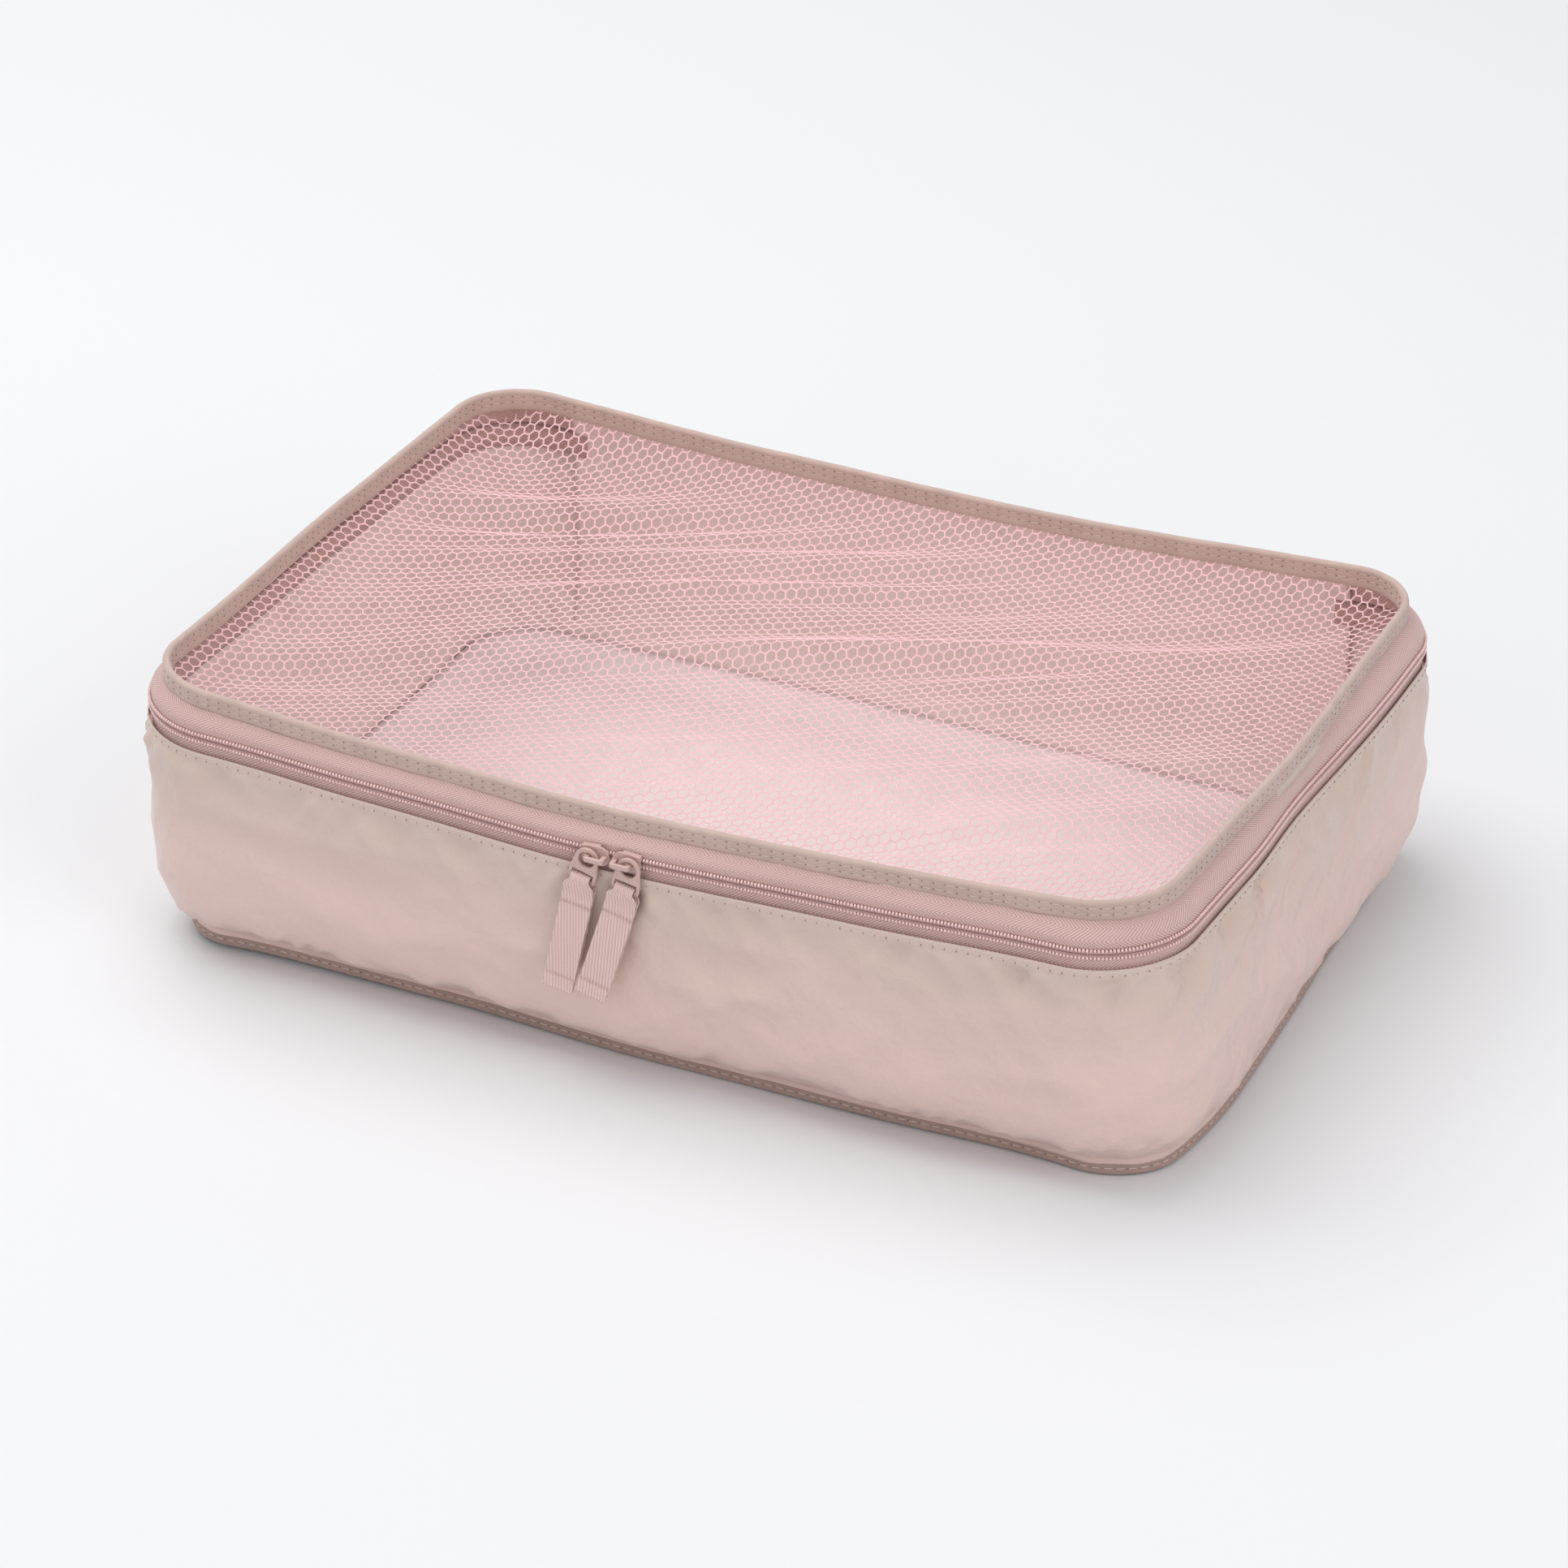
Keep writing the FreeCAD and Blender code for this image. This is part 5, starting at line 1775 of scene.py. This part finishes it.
@dataclass
class Ribbon:
    """A twill ribbon looped through the puller's slot and sewn to itself."""

    side: str
    width: float = 11.6
    neck: float = 7.2
    gauge: float = 0.62
    length: float = 43.5
    curl: float = 2.0
    sway: float = 0.8
    seed: int = 1
    lean: float = 6.0
    loop_radius: float = 1.72
    neck_length: float = 7.5
    taper_length: float = 3.4
    rib_height: float = 0.085
    selvedge_height: float = 0.05
    columns: int = 64

    TACKS = {"upper": 10.0, "lower": 38.0}
    RIB_ALONG = -2 * math.pi / 5.2
    RIB_ACROSS = 2 * math.pi / 1.15

    def frame_axes(self) -> tuple[Array, Array, Array, Array]:
        """Return the bar's middle and the ribbon's axes: across, down and outwards."""
        joint = joint_of(f"{self.side}_ribbon_lift")
        middle = np.array(joint["pos_m"]) / MM
        across = -np.array(joint["axis"], float)
        outwards = np.array([0.0, -1.0, 0.0])
        down = np.cross(outwards, across)
        down *= -1 if down[2] > 0 else 1
        lean = math.radians(self.lean)
        down, outwards = (down * math.cos(lean) + outwards * math.sin(lean),
                          outwards * math.cos(lean) - down * math.sin(lean))
        return middle, across, down, outwards

    def path(self) -> tuple[Array, Array]:
        """Return the ribbon's middle line as distances down and outwards."""
        loop = self.loop_radius
        half_gap = self.gauge / 2 + 0.03
        down = np.linspace(self.length, 0.0, 120)
        ease = smooth_step(np.clip(down / self.neck_length, 0, 1))
        spread = loop * (1 - ease) + half_gap * ease
        pinch = sum(np.exp(-((down - place) / 1.3) ** 2) for place in self.TACKS.values())
        slack = 0.45 * np.sin(math.pi * np.clip((down - 11) / 26, 0, 1)) - 0.05 * pinch
        spread = spread + slack * (down > 8.7)
        turn = np.linspace(0, math.pi, 20)[1:-1]
        back = (down, -spread)
        bend = (-loop * np.sin(turn), -loop * np.cos(turn))
        front = (down[::-1], spread[::-1])
        return (np.concatenate([back[0], bend[0], front[0]]),
                np.concatenate([back[1], bend[1], front[1]]))

    def build(self, finishes: Finishes) -> bpy.types.Object:
        """Make the ribbon with its woven ribs, as one folded closed strip.

        Args:
            finishes: The cube's finishes.

        Returns:
            The ribbon's cloth.
        """
        middle, across, down_axis, out_axis = self.frame_axes()
        down, outward = self.path()
        run = np.concatenate([[0], np.cumsum(np.hypot(np.diff(down), np.diff(outward)))])
        narrow = smooth_step(np.clip((down + 0.2) / self.taper_length, 0, 1))
        half = (self.neck + (self.width - self.neck) * narrow) / 2
        columns = self.columns
        share = np.linspace(-1, 1, columns)
        step_down, step_out = np.gradient(down), np.gradient(outward)
        size = np.hypot(step_down, step_out)
        normal_down, normal_out = -step_out / size, step_down / size
        cross = share[None, :] * half[:, None]
        phase = run[:, None] * self.RIB_ALONG + cross * self.RIB_ACROSS
        ribs = self.rib_height * np.sin(phase) * np.clip((1 - np.abs(share[None, :])) * 14, 0, 1)
        from_edge = (1 - np.abs(share)) * self.width / 2
        selvedge = self.selvedge_height * np.exp(-(from_edge / 0.5) ** 2)[None, :]
        wander = 0.14 * patch_noise(run[:, None] * 3 + 500, cross, 11.0, 60, self.seed + 7)
        layers = []
        for face in (1, -1):
            thick = face * (self.gauge / 2 + ribs + selvedge)
            lift_down = down[:, None] + normal_down[:, None] * thick
            lift_out = outward[:, None] + normal_out[:, None] * (thick + wander * 0.3)
            layers.append((lift_down, lift_out))
        rounds = []
        for lift_down, lift_out in layers:
            bow = self.curl * (np.clip(down, 0, None) / self.length) ** 2
            sway = self.sway * (np.clip(down, 0, None) / self.length) ** 2
            cup = 0.25 * (share[None, :] ** 2) * np.clip(down[:, None] / 20, 0, 1)
            rounds.append(middle + (cross + sway[:, None])[..., None] * across
                          + lift_down[..., None] * down_axis
                          + (lift_out + bow[:, None] + cup)[..., None] * out_axis)
        outer, inner = rounds
        rows = len(run)
        section = np.concatenate([outer, inner[:, ::-1]], axis=1)
        v = np.concatenate([share, share[::-1]]) * self.width / 2
        faces = grid_faces(rows, 2 * columns, False, True)
        i, j = np.meshgrid(np.arange(rows - 1), np.arange(2 * columns), indexing="ij")
        i, j = i.ravel(), j.ravel()
        corners = ((i, j), (i + 1, j), (i + 1, (j + 1) % (2 * columns)),
                   (i, (j + 1) % (2 * columns)))
        uvs = np.stack([np.stack([run[a], v[b]], axis=1) for a, b in corners],
                       axis=1).reshape(-1, 2) * MM
        faces = faces.tolist()
        for row in (0, rows - 1):
            for k in range(columns - 1):
                a, b = row * 2 * columns + k, row * 2 * columns + 2 * columns - 1 - k
                quad = [a, a + 1, b - 1, b]
                faces.append(quad if row == 0 else quad[::-1])
        uvs = np.concatenate([uvs, np.zeros((8 * (columns - 1), 2))])
        piece = new_piece(f"{self.side}_ribbon_cloth", section.reshape(-1, 3), faces, uvs)
        fix_normals(piece)
        dress(piece, finishes.ribbon, f"{self.side}_ribbon", "pull_ribbon",
              f"{self.side}_ribbon")
        self.tacks(finishes)
        return piece

    def tacks(self, finishes: Finishes) -> None:
        """Sew both tack rows through the ribbon."""
        middle, across, down_axis, out_axis = self.frame_axes()
        for label, at in self.TACKS.items():
            strips = []
            for line, shift in enumerate((-0.34, 0.34)):
                x = np.linspace(-self.width / 2 + 0.6, self.width / 2 - 0.6, 25)
                share = (at + shift) / self.length
                out = self.gauge + 0.10 + self.curl * share ** 2 + 0.2 * (x * 2 / self.width) ** 2
                points = middle + (x + self.sway * share ** 2)[:, None] * across \
                    + (at + shift) * down_axis + out[:, None] * out_axis
                name = f"{self.side}_{label}_tack_{line}"
                unit = Stitch(length=1.45, gauge=0.34, share=0.9, sides=6, rings=5).unit(
                    name + "_unit")
                strips.append(Row.lay(name, points, unit, 1.45, finishes.tack,
                                      unevenness=0.12, seed=self.seed + line))
                bpy.data.objects.remove(unit)
            row = join(f"{self.side}_{label}_tack_stitches", *strips)
            dress(row, finishes.tack, f"{self.side}_ribbon", "tack_thread",
                  f"{self.side}_ribbon_{label}_tack")


@dataclass
class Pull:
    """One slider with its strap, puller and ribbon."""

    side: str
    ribbon: Ribbon

    def build(self, finishes: Finishes) -> None:
        """Round the castings and hang the ribbon."""
        for node, name, width, body in (
                ("slider_body", "slider_casting", 0.28, "slider"),
                ("slider_bridge", "strap_casting", 0.45, "slider"),
                ("puller", "puller_casting", 0.36, "puller")):
            piece = rounded_copy(f"{self.side}_{node}", f"{self.side}_{name}", width)
            dress(piece, finishes.paint, f"{self.side}_{body}", "painted_zinc",
                  f"{self.side}_{node}")
        self.ribbon.build(finishes)


# ------------------------------------------------------------------ sub-assemblies


@dataclass
class Tub:
    """The tub: bottom, walls, their binding and stitching."""

    binding: RimBinding = field(default_factory=lambda: RimBinding(
        outer_leg=6.6, inner_leg=6.6, span=2.6, rows=(2.4, 4.7), lean=1.4))
    wall: SideWall = field(default_factory=SideWall)
    bottom: BottomPanel = field(default_factory=BottomPanel)
    hem_drop: float = 2.4

    def build(self, finishes: Finishes) -> None:
        """Make every piece of the tub but its zip."""
        along = stations(self.binding.spacing, True)
        lines = Lines(along)
        rim = self.binding.build("bottom_rim_tape", lines.foot_out, lines.foot_up, along, -1, 91)
        fix_normals(rim)
        # The bottom binding's darker tape is painted shade.
        dress(rim, finishes.foot_tape_painted_shade, "tub", "binding_tape", "bottom_rim_binding")
        for label, row in zip(("lower", "upper"), self.binding.rows):
            piece = self.binding.stitches(
                f"bottom_{label}_stitches", row, lambda at: at.foot_out,
                lambda at: at.foot_up, -1, finishes, 91, False)
            dress(piece, finishes.thread, "tub", "sewing_thread", f"bottom_{label}_stitching")
        self.wall.build(finishes)
        self.bottom.build(finishes)
        self.hem_row(finishes)

    def hem_row(self, finishes: Finishes) -> None:
        """Sew the hem of the wall to the lower zip tape."""
        along = stations(1.0, False)
        out, up = self.wall.surface(along)
        height = SIZES.hem_up + SEAMS.zip_rise.at(along) - self.hem_drop
        face = np.array([np.interp(h, row_up, row_out)
                         for h, row_up, row_out in zip(height, up, out)])
        path = line_points(along, face, height)
        piece = Stitch(gauge=0.46).row("hem_stitches", path, finishes, False, 95)
        dress(piece, finishes.thread, "tub", "sewing_thread", "hem_stitching")


@dataclass
class Lid:
    """The lid: net, rim binding, facing and stitching."""

    binding: RimBinding = field(default_factory=RimBinding)
    net: Net = field(default_factory=Net)
    facing: Facing = field(default_factory=Facing)

    def build(self, finishes: Finishes) -> None:
        """Make every piece of the lid but its zip."""
        along = stations(self.binding.spacing, True)
        lines = Lines(along)
        rim = self.binding.build("top_rim_tape", lines.rim_out, lines.rim_top, along, 1, 101)
        fix_normals(rim)
        dress(rim, finishes.binding, "lid", "binding_tape", "top_rim_binding")
        for label, row in zip(("upper", "lower"), self.binding.rows):
            piece = self.binding.stitches(
                f"rim_{label}_stitches", row, lambda at: at.rim_out, lambda at: at.rim_top, 1,
                finishes, 101, True)
            dress(piece, finishes.thread, "lid", "sewing_thread", f"rim_{label}_stitching")
        self.facing.build(finishes)
        self.net.build(finishes)


@dataclass
class Studio:
    """A pale floor, soft light and the camera."""

    yaw: float = -25.81
    pitch: float = 29.64
    distance: float = 2169.0
    target: tuple[float, float, float] = (-1.5, -3.5, 48.5)
    lens: float = 137.3
    floor_size: float = 9.0
    sky: Colour = (0.95, 0.965, 1.0)
    sky_strength: float = 0.60

    def build(self) -> None:
        """Set the floor, the lights and the camera."""
        self.floor()
        self.light("key", (-0.9, 0.2, 2.3), 2.4, 44.0)
        self.light("side", (2.2, -0.9, 1.5), 2.0, 22.0)
        self.light("front", (-0.6, -2.4, 1.3), 2.0, 8.0)
        world = bpy.data.worlds.new("studio")
        world.use_nodes = True
        background = world.node_tree.nodes["Background"]
        background.inputs["Color"].default_value = (*self.sky, 1)
        background.inputs["Strength"].default_value = self.sky_strength
        bpy.context.scene.world = world
        bpy.context.scene.view_settings.view_transform = "Standard"
        self.camera()

    def floor(self) -> None:
        """Lay the floor."""
        half = self.floor_size / 2 / MM
        points = np.array([(-half, -half, 0), (half, -half, 0), (half, half, 0),
                           (-half, half, 0)], float)
        floor = new_piece("floor", points, [[0, 1, 2, 3]])
        s = Shader("pale_floor")
        s.paint(s.ramp(s.noise(s.object_point(), 400.0), 0.3, 0.7, (0.735, 0.74, 0.745),
                       (0.745, 0.745, 0.75)))
        s.set(Roughness=0.75, Specular_IOR_Level=0.2)
        floor.data.materials.append(s.material)

    def light(self, name: str, place: tuple[float, float, float], size: float,
              power: float) -> None:
        """Hang one soft square light that looks at the cube.

        Args:
            name: The light's name.
            place: Where it hangs, in metres.
            size: Its side, in metres.
            power: Its power, in watts.
        """
        data = bpy.data.lights.new(name, "AREA")
        data.energy = power
        data.size = size
        lamp = bpy.data.objects.new(name, data)
        lamp.location = place
        lamp.rotation_euler = (-Vector(place)).to_track_quat("-Z", "Y").to_euler()
        bpy.context.scene.collection.objects.link(lamp)

    def camera(self) -> None:
        """Place the camera."""
        yaw, pitch = math.radians(self.yaw), math.radians(self.pitch)
        forward = Vector((math.sin(yaw) * math.cos(pitch), math.cos(yaw) * math.cos(pitch),
                          -math.sin(pitch)))
        data = bpy.data.cameras.new("camera")
        data.lens = self.lens
        data.sensor_width = 36.0
        data.clip_end = 30.0
        camera = bpy.data.objects.new("camera", data)
        camera.location = (Vector(self.target) - forward * self.distance) * MM
        camera.rotation_euler = forward.to_track_quat("-Z", "Y").to_euler()
        bpy.context.scene.collection.objects.link(camera)
        bpy.context.scene.camera = camera


def main() -> None:
    """Build the whole cube."""
    logging.basicConfig(level=logging.INFO, format="%(name)s %(message)s")
    Studio().build()
    finishes = Finishes()
    Tub().build(finishes)
    BackPanel().build(finishes)
    Lid().build(finishes)
    Zip().build(finishes)
    Pull("left", Ribbon("left", curl=1.4, sway=-0.6, seed=111)).build(finishes)
    Pull("right", Ribbon("right", curl=1.8, sway=-1.6, seed=121)).build(finishes)


if __name__ == "__main__":
    main()
